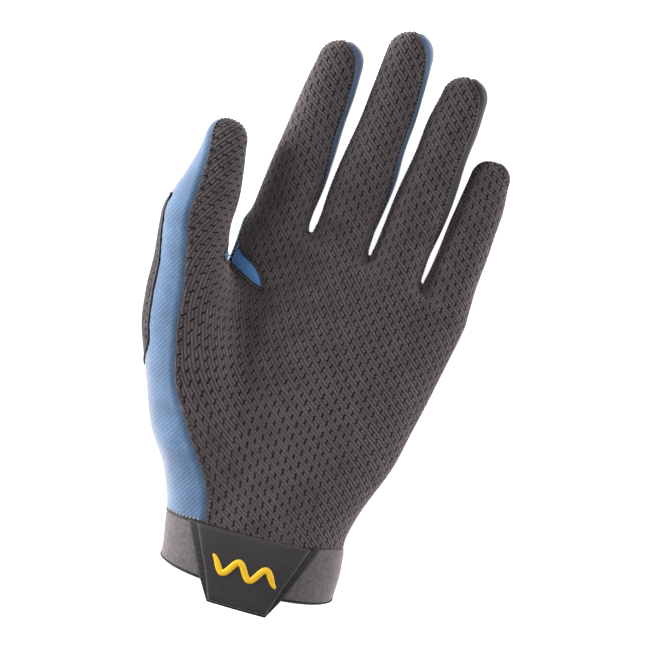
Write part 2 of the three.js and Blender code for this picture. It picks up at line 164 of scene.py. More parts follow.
# The leaf-shaped gusset's lower and upper edge, up to the fold between thumb and hand: x, y.
GUSSET_LOW = [(-46, 111.6), (-41.0, 109.8), (-32.8, 105.8), (-27.5, 103.6), (-24.6, 102.9)]
GUSSET_HIGH = [(-46, 130), (-41.8, 124), (-39.2, 117.6), (-36.6, 113.9), (-31.2, 110.9),
               (-27.0, 107.2), (-24.6, 102.9)]
GUSSET_ENDS = (-40.9, -24.8)
GUSSET_FLOOR = 9.0  # the gusset ends at this height
GUSSET_FOLD = [(-40.6, 110.2), (-38.4, 113.8), (-37.4, 115.4)]
# The patch over the back of the thumb reaches from one of these distances to the other.
PATCH_ENDS = (64, 127)

# How far the ribs lean from the line of the glove, in degrees to the right: x, y, lean.
RIB_LEAN = [
    (-20, 30, -65), (0, 26, -60), (24, 28, -54), (-38, 48, -62), (-18, 48, -61), (10, 48, -58),
    (34, 50, -50), (-44, 60, -44), (-22, 62, -48), (5, 62, -53), (30, 64, -54), (-46, 72, -12),
    (-32, 73, -28), (-18, 75, -38), (4, 76, -48), (28, 78, -53), (-52, 84, -2), (-40, 84, -6),
    (-28, 88, -22), (-14, 92, -38), (10, 94, -47), (38, 96, -50), (-52, 96, 20), (-45, 98, 12),
    (-52, 110, 30), (-22, 112, -40), (8, 114, -48), (38, 118, -50), (-52, 125, 34),
    (-53, 150, 40), (-25, 142, -54), (-22, 168, -62), (-21, 192, -50), (0, 142, -57),
    (3, 170, -48), (5, 202, -46), (24, 144, -54), (28, 186, -48), (44, 136, -54), (46, 160, -60),
]

# ---- helpers --------------------------------------------------------------------------------


def put(points):
    """Millimetres from the middle of the cuff, as metres in the part's frame."""
    return (np.asarray(points, float) - ORIGIN) / 1000


def ease(t):
    """0 to 1, slow at both ends."""
    t = np.clip(t, 0, 1)
    return t * t * (3 - 2 * t)


def bell(x, width):
    """1 where x is zero, falling off to nothing on both sides."""
    return np.exp(-(x / width) ** 2)


def unit(ways):
    """The directions alone, each as long as one."""
    return ways / np.maximum(np.linalg.norm(ways, axis=-1, keepdims=True), 1e-6)


def lengths_along(line):
    """How far along a line each of its points is."""
    return np.concatenate([[0], np.cumsum(np.linalg.norm(np.diff(line, axis=0), axis=1))])


def points_at(where, lengths, line):
    """The points of a line at some distances along it."""
    return np.stack([np.interp(where, lengths, line[:, c]) for c in range(line.shape[1])], -1)


def curve_through(rows):
    """A smooth function of the first column through the rows' other columns."""
    rows = np.array(rows, float)
    knots, values = rows[:, 0], rows[:, 1:]
    slopes = np.gradient(values, knots, axis=0)

    def at(where):
        where = np.clip(where, knots[0], knots[-1])
        i = np.clip(np.searchsorted(knots, where) - 1, 0, len(knots) - 2)
        span = knots[i + 1] - knots[i]
        t = (where - knots[i]) / span
        out = []
        for c in range(values.shape[1]):
            a, b = values[i, c], values[i + 1, c]
            da, db = slopes[i, c] * span, slopes[i + 1, c] * span
            out.append(a * (1 + 2 * t) * (1 - t) ** 2 + da * t * (1 - t) ** 2
                       + b * t * t * (3 - 2 * t) + db * t * t * (t - 1))
        return out

    return at


# ---- the hand form as a distance field -----------------------------------------------------


class Digit:
    """The thumb or a finger: its form, its joints, its panels and its seams."""

    def __init__(self, name):
        root, lean, self.flat, sections, self.tip, bends = DIGITS[name]
        self.name, self.place = name, list(DIGITS).index(name)
        self.at = curve_through(sections)
        self.low, self.high = sections[0][0], sections[-1][0]
        lean = math.radians(lean)
        self.along = np.array([math.sin(lean), math.cos(lean), 0.0])
        x, z, _ = self.at(np.array(float(root)))
        self.root = np.array([float(x), root, float(z)])
        marks = np.cumsum((0,) + bends)
        self.joints = [(marks[i] + marks[i + 1]) / 2 for i in range(1, len(bends) - 1, 2)]
        self.last_bend = marks[-2]
        self.seams = curve_through(PANEL_SEAMS[name])
        is_thumb = name == "thumb"
        self.parts = ("base", "tip") if is_thumb else ("knuckle", "middle", "tip")
        self.bodies = ("proximal", "tip") if is_thumb else ("proximal", "middle", "tip")
        self.behind = "side" if is_thumb else "back"
        self.cloth = "dark" if name in ("ring", "little") else "blue"

    def distance(self, p):
        """Distance to the digit's skin, nearly, and negative inside."""
        x, z, w = self.at(p[..., 1])
        h, power = w * self.flat, FINGER_POWER
        past = np.maximum(p[..., 1] - self.high, 0) / self.tip
        before = np.maximum(self.low - p[..., 1], 0) / w
        dx, dz = np.abs(p[..., 0] - x) / w, np.abs(p[..., 2] - z) / h
        size = (dx**power + dz**power + past**2.1 + before**2) ** (1 / power)
        size = np.maximum(size, 1e-4)
        steep = size ** (1 - power) * np.sqrt(
            (dx ** (power - 1) / w) ** 2 + (dz ** (power - 1) / h) ** 2
            + (past ** 1.1 / self.tip) ** 2 + (before / w) ** 2)
        return (size - 1) / np.maximum(steep, 0.03)

    def angle(self, p):
        """The angle round the digit from the top of its palm side, in radians."""
        x, z, _ = self.at(p[..., 1])
        return np.arctan2(p[..., 0] - x, p[..., 2] - z)

    def height(self, p):
        """How far along the digit from its root."""
        return (p - self.root) @ self.along

    def owns(self, p):
        """Whether a point is in the strip of the glove that this digit grows from."""
        left, right = (x + slope * (p[..., 1] - 130) for x, slope in
                       PARTINGS[self.place:self.place + 2])
        return (p[..., 0] > left) & (p[..., 0] <= right)

    def covers(self, p):
        """Whether a point is on the digit's own panels."""
        return self.owns(p) & (self.height(p) > 0)

    def palm_side(self, p):
        """Above zero on the palm panel of the digit, in millimetres from its seams, nearly."""
        left, right = (np.radians(a) for a in self.seams(self.height(p)))
        middle, half = (left + right) / 2, (right - left) / 2
        return 10 * (np.cos(self.angle(p) - middle) - np.cos(half))


digits = {name: Digit(name) for name in DIGITS}
fingers = [digits[n] for n in ("index", "middle", "ring", "little")]
thumb = digits["thumb"]
palm_at = curve_through(PALM)


def palm_distance(p):
    """Distance to the palm's skin, nearly, without the digits."""
    x, w, z, h = palm_at(p[..., 1])
    end = PALM[-1][0] + KNUCKLE_SLANT * (p[..., 0] - PALM[-1][1])
    past = np.maximum(p[..., 1] - end, 0) / PALM_END
    dx, dz = np.abs(p[..., 0] - x) / w, np.abs(p[..., 2] - z) / h
    size = (dx**PALM_POWER + dz**PALM_POWER + past**2) ** (1 / PALM_POWER)
    size = np.maximum(size, 1e-4)
    steep = size ** (1 - PALM_POWER) * np.sqrt(
        (dx ** (PALM_POWER - 1) / w) ** 2 + (dz ** (PALM_POWER - 1) / h) ** 2
        + (past / PALM_END) ** 2)
    return (size - 1) / np.maximum(steep, 0.015)


def soft_min(a, b, reach):
    """The smaller of two distances, rounded off where they are nearly the same."""
    mix = np.clip(0.5 + 0.5 * (b - a) / reach, 0, 1)
    return b + (a - b) * mix - reach * mix * (1 - mix)


def fabric_waves(p):
    """The gentle unevenness of worn fabric."""
    x, y, z = p[..., 0], p[..., 1], p[..., 2]
    slow = np.sin(x / 7.3 + 1.3 * np.sin(y / 11)) * np.sin(y / 8.1 + z / 9.0)
    fast = np.sin(x / 3.9 - y / 5.2 + 2.1) * np.sin(z / 4.3 + y / 6.7)
    return 0.20 * slow + 0.07 * fast


def hand_distance(p):
    """Distance to the skin of the whole hand form, nearly, and negative inside."""
    p = np.asarray(p, float)
    reach = 1.5 + 8.5 * ease((p[..., 1] - 24) / 34) * (1 - ease((p[..., 1] - 98) / 13))
    whole = soft_min(palm_distance(p), thumb.distance(p), reach)
    tips = None
    for finger in fingers:
        one = finger.distance(p)
        tips = one if tips is None else soft_min(tips, one, 1.6)
    whole = soft_min(whole, tips, 3.2)
    whole = -soft_min(-whole, -(BACK_FLAT - p[..., 2]), 3.0)
    return whole + fabric_waves(p)


def slope_of(p, step=0.05):
    """The outward direction of the hand form at each point, and its distance there."""
    here = hand_distance(p)
    out = np.stack([hand_distance(p + step * np.eye(3)[a]) - here for a in range(3)], -1) / step
    size = np.maximum(np.linalg.norm(out, axis=-1, keepdims=True), 1e-6)
    return out / size, here / size[..., 0]


def onto_form(p, rounds=3):
    """The points moved onto the hand form."""
    for _ in range(rounds):
        out, gap = slope_of(p)
        p = p - out * np.clip(gap, -1, 1)[:, None]
    return p


def cell_points(grid, field):
    """A point in each cell that the form's skin passes through, and each cell's number."""
    cells = tuple(n - 1 for n in field.shape)
    total, count = np.zeros(cells + (3,)), np.zeros(cells)

    def corner(array, c):
        return array[tuple(slice(c[a], c[a] + cells[a]) for a in range(3))]

    for c in ((i, j, k) for i in (0, 1) for j in (0, 1) for k in (0, 1)):
        for axis in range(3):
            if c[axis]:
                continue
            d = tuple(v + (a == axis) for a, v in enumerate(c))
            fa, fb = corner(field, c), corner(field, d)
            crossed = (fa < 0) != (fb < 0)
            t = np.where(crossed, fa / np.where(crossed, fa - fb, 1), 0)[..., None]
            point = corner(grid, c) * (1 - t) + corner(grid, d) * t
            total += np.where(crossed[..., None], point, 0)
            count += crossed
    used = count > 0
    number = np.full(cells, -1)
    number[used] = np.arange(used.sum())
    return total[used] / count[used][:, None], number


def cell_quads(field, number):
    """A quad between the four cells round each step of the grid that the skin crosses."""
    inside, quads = field < 0, []
    for axis in range(3):
        one, two = (axis + 1) % 3, (axis + 2) % 3
        ends = [slice(1, n - 1) for n in field.shape]
        ends[axis] = slice(0, field.shape[axis] - 1)
        other = list(ends)
        other[axis] = slice(1, field.shape[axis])
        a, b = inside[tuple(ends)], inside[tuple(other)]
        at = np.argwhere(a != b) + np.array([s.start for s in ends])
        ring = []
        for s, t in ((0, 0), (-1, 0), (-1, -1), (0, -1)):
            cell = at.copy()
            cell[:, one] += s
            cell[:, two] += t
            ring.append(number[cell[:, 0], cell[:, 1], cell[:, 2]])
        ring = np.stack(ring, -1)
        flip = ~a[a != b]
        ring[flip] = ring[flip][:, ::-1]
        quads.append(ring)
    quads = np.concatenate(quads)
    return quads[(quads >= 0).all(1)]


def evened_out(points, quads):
    """The net's points, spread more evenly and brought back onto the form in turn."""
    edges = np.concatenate([quads[:, [i, (i + 1) % 4]] for i in range(4)])
    for _ in range(3):
        near, number_near = np.zeros_like(points), np.zeros(len(points))
        np.add.at(near, edges[:, 0], points[edges[:, 1]])
        np.add.at(number_near, edges[:, 0], 1)
        settled = near / np.maximum(number_near, 1)[:, None]
        points = onto_form(points * 0.4 + settled * 0.6, 1)
    return onto_form(points)


def hand_surface():
    """The hand form as an even net of triangles."""
    axes = [np.arange(low, high, GRID) for low, high in zip(FORM_LOW, FORM_HIGH)]
    grid = np.stack(np.meshgrid(*axes, indexing="ij"), -1)
    field = hand_distance(grid.reshape(-1, 3)).reshape(grid.shape[:3])
    points, number = cell_points(grid, field)
    quads = cell_quads(field, number)
    points = evened_out(points, quads)
    diagonals = [np.linalg.norm(points[quads[:, a]] - points[quads[:, b]], axis=1)
                 for a, b in ((0, 2), (1, 3))]
    first = diagonals[0] <= diagonals[1]
    q = np.where(first[:, None], quads, np.roll(quads, -1, axis=1))
    return points, np.concatenate([q[:, [0, 1, 2]], q[:, [0, 2, 3]]])


# ---- cutting the surface into panels --------------------------------------------------------


def cut(points, faces, field, where):
    """Splits the faces that `where` marks along the line on which the field is zero."""
    f = field(points)
    f = np.where(np.abs(f) < 0.03, 0.0, f)
    side = np.sign(f)[faces]
    crossed = where & (side.min(1) < 0) & (side.max(1) > 0)
    keep, split = faces[~crossed], faces[crossed]
    if not len(split):
        return points, faces
    s = np.sign(f)[split]
    touches = (s == 0).any(1)
    lone = np.argmax(np.where(s != 0, np.where((s == s.sum(1, keepdims=True) * -1), 1, 0), 0), 1)
    first = np.where(touches, np.argmax(s == 0, 1), lone)
    rows = np.arange(len(split))
    a, b, c = (split[rows, (first + i) % 3] for i in range(3))
    pairs, sizes = [], []

    def between(i, j):
        pair = np.sort(np.stack([i, j], -1), 1)
        pairs.append(pair)
        sizes.append(len(pair))

    t, u = touches, ~touches
    between(b[t], c[t])
    between(a[u], b[u])
    between(a[u], c[u])
    unique, back = np.unique(np.concatenate(pairs), axis=0, return_inverse=True)
    back = back.reshape(-1)
    fa, fb = f[unique[:, 0]], f[unique[:, 1]]
    share = (fa / (fa - fb))[:, None]
    made = points[unique[:, 0]] * (1 - share) + points[unique[:, 1]] * share
    numbers = np.split(back + len(points), np.cumsum(sizes)[:-1])
    bc, ab, ac = numbers
    new = [np.stack([a[t], b[t], bc], -1), np.stack([a[t], bc, c[t]], -1),
           np.stack([a[u], ab, ac], -1), np.stack([ab, b[u], c[u]], -1),
           np.stack([ab, c[u], ac], -1)]
    return np.concatenate([points, made]), np.concatenate([keep, *new])


def cuff_seam(x):
    """The height of the seam round the top of the cuff, which rises by the little finger."""
    return CUFF_SEAM + 3.2 * ease((x - 8) / 22) - 0.8 * ease((-x - 18) / 14)


side_seam_at = curve_through(SIDE_SEAM)


def side_field(p):
    """Above zero on the little finger's side of the seam between palm and thumb side."""
    return p[:, 0] - side_seam_at(p[:, 1])[0]


def back_field(p):
    """Above zero on the palm side of the seam round the back panel."""
    by_thumb = ease((-36 - p[:, 0]) / 5)
    rise = 5.3 * ease((p[:, 1] - 100) / 28) * (1 - by_thumb)
    rise = rise + 12.6 * ease((p[:, 1] - 64) / 43) * by_thumb
    return p[:, 2] - BACK_SEAM - rise


gusset_low_at, gusset_high_at = curve_through(GUSSET_LOW), curve_through(GUSSET_HIGH)


def gusset_field(p):
    """Above zero inside the leaf that is let into the fold between thumb and palm."""
    low, high = gusset_low_at(p[:, 0])[0], gusset_high_at(p[:, 0])[0]
    leaf = np.minimum(p[:, 1] - low, high - p[:, 1])
    ends = np.minimum(GUSSET_ENDS[1] - p[:, 0], p[:, 0] - GUSSET_ENDS[0])
    return np.minimum(np.minimum(leaf, ends), p[:, 2] - GUSSET_FLOOR)


def colour_field(p):
    """Above zero on the dark half of the back, below it on the blue half."""
    return p[:, 0] - (9.9 + 12 * (ease((p[:, 1] - 20) / 108) - 1))


def overlay_field(p):
    """Above zero on the patch over the back of the thumb."""
    angle = np.degrees(thumb.angle(p))
    angle = np.where(angle > 60, angle - 360, angle)
    ends = np.minimum(p[:, 1] - PATCH_ENDS[0], PATCH_ENDS[1] - p[:, 1])
    edge = -52 - 13 * ease((p[:, 1] - 96) / 30) - 34 * ease((74 - p[:, 1]) / 12)
    sides = np.minimum((edge - angle) * 0.25, (angle + 165) * 0.25)
    return np.minimum(sides, ends)


points, faces = hand_surface()


def cut_where(field, where):
    """Cuts the glove's surface where the field is zero, on faces whose middles pass `where`."""
    global points, faces
    points, faces = cut(points, faces, field, where(points[faces].mean(1)))


cut_where(lambda p: p[:, 1] - cuff_seam(p[:, 0]), lambda c: c[:, 1] < 30)
for digit in digits.values():
    for mark in (0, *digit.joints):
        cut_where(lambda p: digit.height(p) - mark,
                  lambda c: digit.owns(c) & (np.abs(digit.height(c) - mark) < 4))
    cut_where(digit.palm_side, digit.covers)


def on_hand(c):
    """Whether a point is on a panel of the hand itself, and not of a digit."""
    return ~np.any([d.covers(c) for d in digits.values()], axis=0)


cut_where(back_field, on_hand)
cut_where(side_field, lambda c: on_hand(c) & (back_field(c) > 0))
cut_where(gusset_field, lambda c: on_hand(c) & (back_field(c) > 0) & (c[:, 0] < -20))
cut_where(colour_field, lambda c: on_hand(c) & (back_field(c) < 0))
cut_where(overlay_field, lambda c: (c[:, 0] < -40) & (c[:, 1] > 55) & (c[:, 1] < 135))

centres = points[faces].mean(1)
kept = centres[:, 1] > cuff_seam(centres[:, 0])
faces, centres = faces[kept], centres[kept]

# A panel's name for each face.
panel = np.full(len(faces), "palm_panel", dtype=object)
hand = on_hand(centres)
back = hand & (back_field(centres) < 0)
panel[hand & ~back & (side_field(centres) < 0)] = "thumb_side_panel"
panel[hand & ~back & (gusset_field(centres) > 0)] = "thumb_gusset"
panel[back] = "back_panel"
panel[back & (colour_field(centres) > 0)] = "back_panel_outer"
for digit in digits.values():
    own = digit.covers(centres)
    level = np.searchsorted(digit.joints, digit.height(centres))
    facing = digit.palm_side(centres) > 0
    for i, part in enumerate(digit.parts):
        panel[own & (level == i) & facing] = f"{digit.name}_{part}_palm"
        panel[own & (level == i) & ~facing] = f"{digit.name}_{part}_{digit.behind}"


def is_knit_panel(name):
    """Whether a panel is made of the palm's knit."""
    return name == "palm_panel" or name.endswith("_palm")


outward = slope_of(points)[0]

# ---- the run of the grip knit ---------------------------------------------------------------


def rib_lean(p):
    """How far the ribs lean at each point, in radians to the right."""
    lean = np.array(RIB_LEAN, float)
    near = (p[:, 0, None] - lean[:, 0]) ** 2 + (p[:, 1, None] - lean[:, 1]) ** 2
    apart = ((p[:, 0, None] < -41) != (lean[:, 0] < -41)) & (p[:, 1, None] > 112)
    weight = 1 / (np.where(apart, near * 9, near) + 40.0) ** 2
    return np.radians((weight * lean[:, 2]).sum(1) / weight.sum(1))


def knit_on(tri):
    """Two numbers for each corner point of the faces, one counting across the ribs and one along
    them, in millimetres: the smooth pair whose ribs best follow rib_lean over the surface."""
    used, flat = np.unique(tri, return_inverse=True)
    flat = flat.reshape(-1, 3)
    p = points[used][flat]
    normal = np.cross(p[:, 1] - p[:, 0], p[:, 2] - p[:, 0])
    double = np.maximum(np.linalg.norm(normal, axis=1), 1e-4)
    normal /= double[:, None]
    rise = np.stack([np.cross(normal, p[:, (i + 2) % 3] - p[:, (i + 1) % 3]) for i in range(3)], 1)
    rise /= double[:, None, None]
    weight = double / 2
    up = np.array([0.0, 1.0, 0.0]) - normal * normal[:, 1:2]
    up /= np.maximum(np.linalg.norm(up, axis=1, keepdims=True), 0.05)
    side = np.cross(up, normal)
    lean = rib_lean(p.mean(1))[:, None]

    def gather(values):
        return np.bincount(flat.ravel(), values.ravel(), len(used))

    def spread(field):
        return gather((rise * (field * weight[:, None])[:, None, :]).sum(2))

    scale = 1 / np.maximum(gather((rise**2).sum(2) * weight[:, None]), 1e-9)
    out = np.zeros((len(points), 3))
    for column, wanted in enumerate((np.cos(lean) * side - np.sin(lean) * up,
                                     np.cos(lean) * up + np.sin(lean) * side)):
        value = np.zeros(len(used))
        rest = spread(wanted)
        way = scale * rest
        size = (rest * way).sum()
        for _ in range(900):
            moved = spread((rise * way[flat][:, :, None]).sum(1))
            share = size / max((way * moved).sum(), 1e-12)
            value += share * way
            rest -= share * moved
            fresh = (rest * rest * scale).sum()
            if fresh < 1e-5:
                break
            way = scale * rest + way * fresh / size
            size = fresh
        out[used, column] = value - value.min()
    return out[:, :2]


# The ribs and cross threads, the stitches and the edge cords are all yarns: runs of points, with
# a radius for each, a kind and the panel that carries them.
yarns = {}


def lay(panel_name, spots, radii, kind):
    """Adds one yarn to a panel."""
    yarns.setdefault(panel_name, []).append((spots, radii, kind))


def lattice(tri_points, tri_knit, tri_out, shift):
    """Where, on a panel's faces, the count of ribs and of steps along them are both whole: the
    (rib, step) pairs, their places, the outward directions, the faces and the ribs' spacing."""
    k = (tri_knit - np.array([shift * RIB_PITCH, 0])) / np.array([RIB_PITCH, RIB_STEP])
    e1, e2 = k[:, 1] - k[:, 0], k[:, 2] - k[:, 0]
    area = e1[:, 0] * e2[:, 1] - e1[:, 1] * e2[:, 0]
    p1, p2 = tri_points[:, 1] - tri_points[:, 0], tri_points[:, 2] - tri_points[:, 0]
    safe = np.where(np.abs(area) < 1e-9, 1e-9, area)[:, None]
    across = (p1 * e2[:, 1:2] - p2 * e1[:, 1:2]) / safe
    wide = np.linalg.norm(across, axis=1)
    low = np.ceil(k.min(1) - 1e-9).astype(int)
    high = np.floor(k.max(1) + 1e-9).astype(int)
    good = (np.abs(area) > 1e-7) & (wide < 5) & (wide > 0.3)
    reach = np.where(good[:, None], np.minimum(high - low, 6), -1)
    found = []
    for i in range(int(reach[:, 0].max()) + 1):
        for j in range(int(reach[:, 1].max()) + 1):
            rows = np.flatnonzero((reach[:, 0] >= i) & (reach[:, 1] >= j))
            node = low[rows] + [i, j]
            d = node - k[rows, 0]
            s = (d[:, 0] * e2[rows, 1] - d[:, 1] * e2[rows, 0]) / area[rows]
            t = (e1[rows, 0] * d[:, 1] - e1[rows, 1] * d[:, 0]) / area[rows]
            inside = (s >= -1e-6) & (t >= -1e-6) & (s + t <= 1 + 1e-6)
            r, s, t = rows[inside], s[inside][:, None], t[inside][:, None]
            place = tri_points[r, 0] * (1 - s - t) + tri_points[r, 1] * s + tri_points[r, 2] * t
            out = tri_out[r, 0] * (1 - s - t) + tri_out[r, 1] * s + tri_out[r, 2] * t
            found.append((node[inside], place, out, r, wide[r]))
    return [np.concatenate(part) for part in zip(*found)]


def rib_runs(nodes, place):
    """The lattice points of each rib in order along it."""
    keys = {}
    for n, key in enumerate(map(tuple, nodes)):
        twins = keys.setdefault(key, [])
        if all(np.abs(place[n] - place[m]).max() > 0.3 for m in twins):
            twins.append(n)
    after, taken = {}, set()
    for (i, j), twins in keys.items():
        for n in twins:
            near = [(np.linalg.norm(place[n] - place[m]), m) for m in keys.get((i, j + 1), ())
                    if m not in taken]
            if near and min(near)[0] < 3.2 * RIB_STEP:
                after[n] = min(near)[1]
                taken.add(after[n])
    runs = []
    for twins in keys.values():
        for n in twins:
            if n not in taken and n in after:
                run = [n]
                while run[-1] in after:
                    run.append(after[run[-1]])
                runs.append(run)
    return runs


def vents_on(count, low, high):
    """Where the vents break the rib or cross thread of this count, between two distances."""
    (a_across, a_along), (b_across, b_along) = VENT_MOVES
    each = a_along - b_along * a_across / b_across
    first = math.floor((low - b_along * count / b_across) / each) - 1
    last = math.ceil((high - b_along * count / b_across) / each) + 1
    out = []
    for a in range(first, last + 1):
        b = round((count - a * a_across) / b_across)
        off = count - a * a_across - b * b_across
        if abs(off) <= VENT_REACH:
            out.append(a * a_along + b * b_along + VENT_SLANT * off)
    return sorted(out)


def room_past(ends, way, edge):
    """How many steps each end can grow on, up to a step and a quarter, inside the outline."""
    still, reach = np.ones(len(ends), bool), np.zeros(len(ends))
    for share in np.linspace(0, 1.25, 11)[1:]:
        still &= edge(ends + way * share) > 0.12
        reach[still] = share
    return reach


def lay_vented(kind, count, v, spots, size, where):
    """Lays one rib or cross thread in the stretches that its vents leave. v is the distance
    along it, and where names each point's panel, because a yarn ends at its panel's edge."""
    breaks = vents_on(count, v[0], v[-1])
    starts = [v[0]] + [b + VENT_GAP / 2 for b in breaks]
    stops = [b - VENT_GAP / 2 for b in breaks] + [v[-1]]
    for a, b in zip(starts, stops):
        a, b = max(a, v[0]), min(b, v[-1])
        if b - a < SHORTEST_YARN:
            continue
        inner = (v > a + 0.15) & (v < b - 0.15)
        at = np.concatenate([[a], v[inner], [b]])
        line, thick = points_at(at, v, spots), np.interp(at, v, size)
        owner = where[np.clip(np.searchsorted(v, at) - 1, 0, len(v) - 1)]
        begin = 0
        for m in range(1, len(at)):
            if m == len(at) - 1 or owner[m] != owner[begin]:
                lay(owner[begin], line[begin:m + 1], thick[begin:m + 1], kind)
                begin = m


def lay_knit(rows, names, top, edge):
    """Lays ribs and cross threads over the faces in rows. names gives each face's panel, top
    the ground's height at each point, and edge is above zero inside the knit's outline."""
    tri = faces[rows]
    run_of = knit_on(tri)
    for kind, shift, radius, lift in ((RIB, 0.0, RIB_RADIUS, RIB_LIFT),
                                      (WEB, 0.5, WEB_RADIUS, WEB_LIFT)):
        nodes, place, out, row, wide = lattice(top[tri], run_of[tri], outward[tri], shift)
        runs = rib_runs(nodes, place)
        ends = np.array([(r[0], r[1]) for r in runs] + [(r[-1], r[-2]) for r in runs])
        way = place[ends[:, 0]] - place[ends[:, 1]]
        reach = room_past(place[ends[:, 0]], way, edge)
        for n, run in enumerate(runs):
            # The run's first and last points are doubled, and the outer ones moved on.
            first, last, far = reach[n], reach[n + len(runs)], way[n + len(runs)]
            grown = [run[0], *run, run[-1]]
            v = nodes[grown, 1] * RIB_STEP
            v[0] -= first * RIB_STEP
            v[-1] += last * RIB_STEP
            spots = place[grown]
            spots[0] += way[n] * first
            spots[-1] += far * last
            size = radius * np.clip(wide[grown] / RIB_PITCH, 0.5, 1.2)
            size[[0, -1]] *= 0.8
            spots += out[grown] * (lift * size / radius)[:, None]
            keep = np.ones(len(grown), bool)
            keep[0], keep[-1] = first > 0.02, last > 0.02
            lay_vented(kind, nodes[run[0], 0] + shift, v[keep], spots[keep], size[keep],
                       names[row[grown]][keep])


# ---- materials ------------------------------------------------------------------------------

FUZZ = 0.45  # roughness of the sheen on all the fabrics


def linear(code):
    """An sRGB hex colour as linear RGBA."""
    out = []
    for i in (0, 2, 4):
        value = int(code[i:i + 2], 16) / 255
        out.append(value / 12.92 if value <= 0.04045 else ((value + 0.055) / 1.055) ** 2.4)
    return (*out, 1.0)


def add(tree, kind, inputs=(), **settings):
    """A node with its settings, its sockets' values and the links into it."""
    node = tree.nodes.new(kind)
    for key, value in settings.items():
        setattr(node, key, value)
    for key, value in dict(inputs).items():
        if isinstance(value, bpy.types.NodeSocket):
            tree.links.new(value, node.inputs[key])
        else:
            node.inputs[key].default_value = value
    return node


def material(name, dark, light, roughness, mottle, grain, bump, sheen=0.0, tint="e6d4d8",
             wrinkles=None):
    """A fabric or rubber: mottled between two colours every `mottle` mm, with a grain of that
    many mm pressed `bump` mm deep, and fine slanting wrinkles of that pitch if it's given."""
    made = bpy.data.materials.new(name)
    made.use_nodes = True
    tree = made.node_tree
    shader = tree.nodes["Principled BSDF"]
    place = add(tree, "ShaderNodeTexCoord").outputs["Object"]
    patches = add(tree, "ShaderNodeTexNoise",
                  {"Vector": place, "Scale": 1000 / mottle, "Detail": 3.0, "Roughness": 0.6})
    ramp = add(tree, "ShaderNodeValToRGB", {"Fac": patches.outputs["Fac"]})
    ramp.color_ramp.elements[0].position, ramp.color_ramp.elements[1].position = 0.3, 0.7
    ramp.color_ramp.elements[0].color = linear(dark)
    ramp.color_ramp.elements[1].color = linear(light)
    fine = add(tree, "ShaderNodeTexNoise",
               {"Vector": place, "Scale": 1000 / grain, "Detail": 2.0, "Roughness": 0.5})
    height = fine.outputs["Fac"]
    if wrinkles:
        turned = add(tree, "ShaderNodeMapping",
                     {"Vector": place, "Rotation": (0.0, 0.0, math.radians(32))})
        wave = add(tree, "ShaderNodeTexWave",
                   {"Vector": turned.outputs["Vector"], "Scale": 314 / wrinkles,
                    "Distortion": 2.2, "Detail": 2.0, "Detail Scale": 0.3},
                   wave_type="BANDS", bands_direction="X", wave_profile="SIN")
        strength = add(tree, "ShaderNodeTexNoise", {"Vector": place, "Scale": 55.0, "Detail": 1.0})
        cover = add(tree, "ShaderNodeMath",
                    {0: wave.outputs["Fac"], 1: strength.outputs["Fac"]}, operation="MULTIPLY")
        height = add(tree, "ShaderNodeMath", {0: cover.outputs[0], 1: fine.outputs["Fac"]},
                     operation="ADD").outputs[0]
    relief = add(tree, "ShaderNodeBump",
                 {"Height": height, "Distance": bump / 1000, "Strength": 1.0})
    tree.links.new(ramp.outputs["Color"], shader.inputs["Base Color"])
    tree.links.new(relief.outputs["Normal"], shader.inputs["Normal"])
    shader.inputs["Roughness"].default_value = roughness
    if sheen:
        shader.inputs["Sheen Weight"].default_value = sheen
        shader.inputs["Sheen Roughness"].default_value = FUZZ
        shader.inputs["Sheen Tint"].default_value = linear(tint)
    return made


MATERIALS = {
    # Textured polyamide yarn, knitted in ribs: matt, with a warm bloom at grazing angles.
    "rib": material("ribbed_knit_yarn", "413a3c", "534b4d", 0.8, 7, 0.35, 0.12, 0.8),
    # The cross threads lie deeper, between the ribs; their colour is painted darker, as shade for
    # that depth.
    "web": material("knit_cross_thread", "363032", "453e40", 0.88, 7, 0.3, 0.1, 0.5),
    # Brushed lining, which is what shows in the vents; its near black is partly the lining's own
    # colour and partly painted shade for the holes.
    "lining": material("brushed_lining", "121011", "191617", 0.95, 14, 0.5, 0.08),
    # Warp-knitted elastane, dyed: smooth and soft, pale where it is seen at a slant.
    "blue": material("stretch_fabric_blue", "3f5c7c", "507094", 0.75, 10, 0.4, 0.1, 1.0,
                     "f0e6e0", wrinkles=1.3),
    # The same fabric in the leaf between thumb and palm, its colour painted brighter to make up
    # for the shade that falls on it there.
    "leaf": material("stretched_fabric_blue", "4a7cb2", "568bc6", 0.75, 10, 0.4, 0.1, 0.3,
                     "f0e6e0", wrinkles=1.3),
    "dark": material("stretch_fabric_dark", "2b2729", "383335", 0.72, 12, 0.4, 0.1, 0.35,
                     wrinkles=1.3),
    # Foam neoprene faced with fine jersey: dull, with a pale bloom and a visible stipple.
    "neoprene": material("jersey_faced_neoprene", "453f41", "625b5d", 0.78, 1.3, 0.5, 0.16, 0.8),
    # Moulded TPR: satin, with the faint grain of its mould.
    "rubber": material("moulded_tpr", "232022", "2b2729", 0.5, 3, 0.4, 0.05, 0.12),
    "binding": material("cut_rubber_edge", "0b0a0b", "121011", 0.62, 5, 0.4, 0.05),
    "yellow": material("yellow_tpr_inlay", "eebb0c", "f4c51c", 0.45, 4, 0.4, 0.02),
    "thread": material("bonded_nylon_thread", "0c0b0c", "131112", 0.5, 10, 0.2, 0.03, 0.1),
    "pale_thread": material("pale_nylon_thread", "8d8587", "a39b9d", 0.5, 10, 0.2, 0.03, 0.2),
}
YARNS = ("rib", "web", "thread", "pale_thread", "blue", "dark")
RIB, WEB, THREAD, PALE_THREAD, BLUE_TUCK, DARK_TUCK = range(1, 7)

# ---- turning yarns into geometry ------------------------------------------------------------


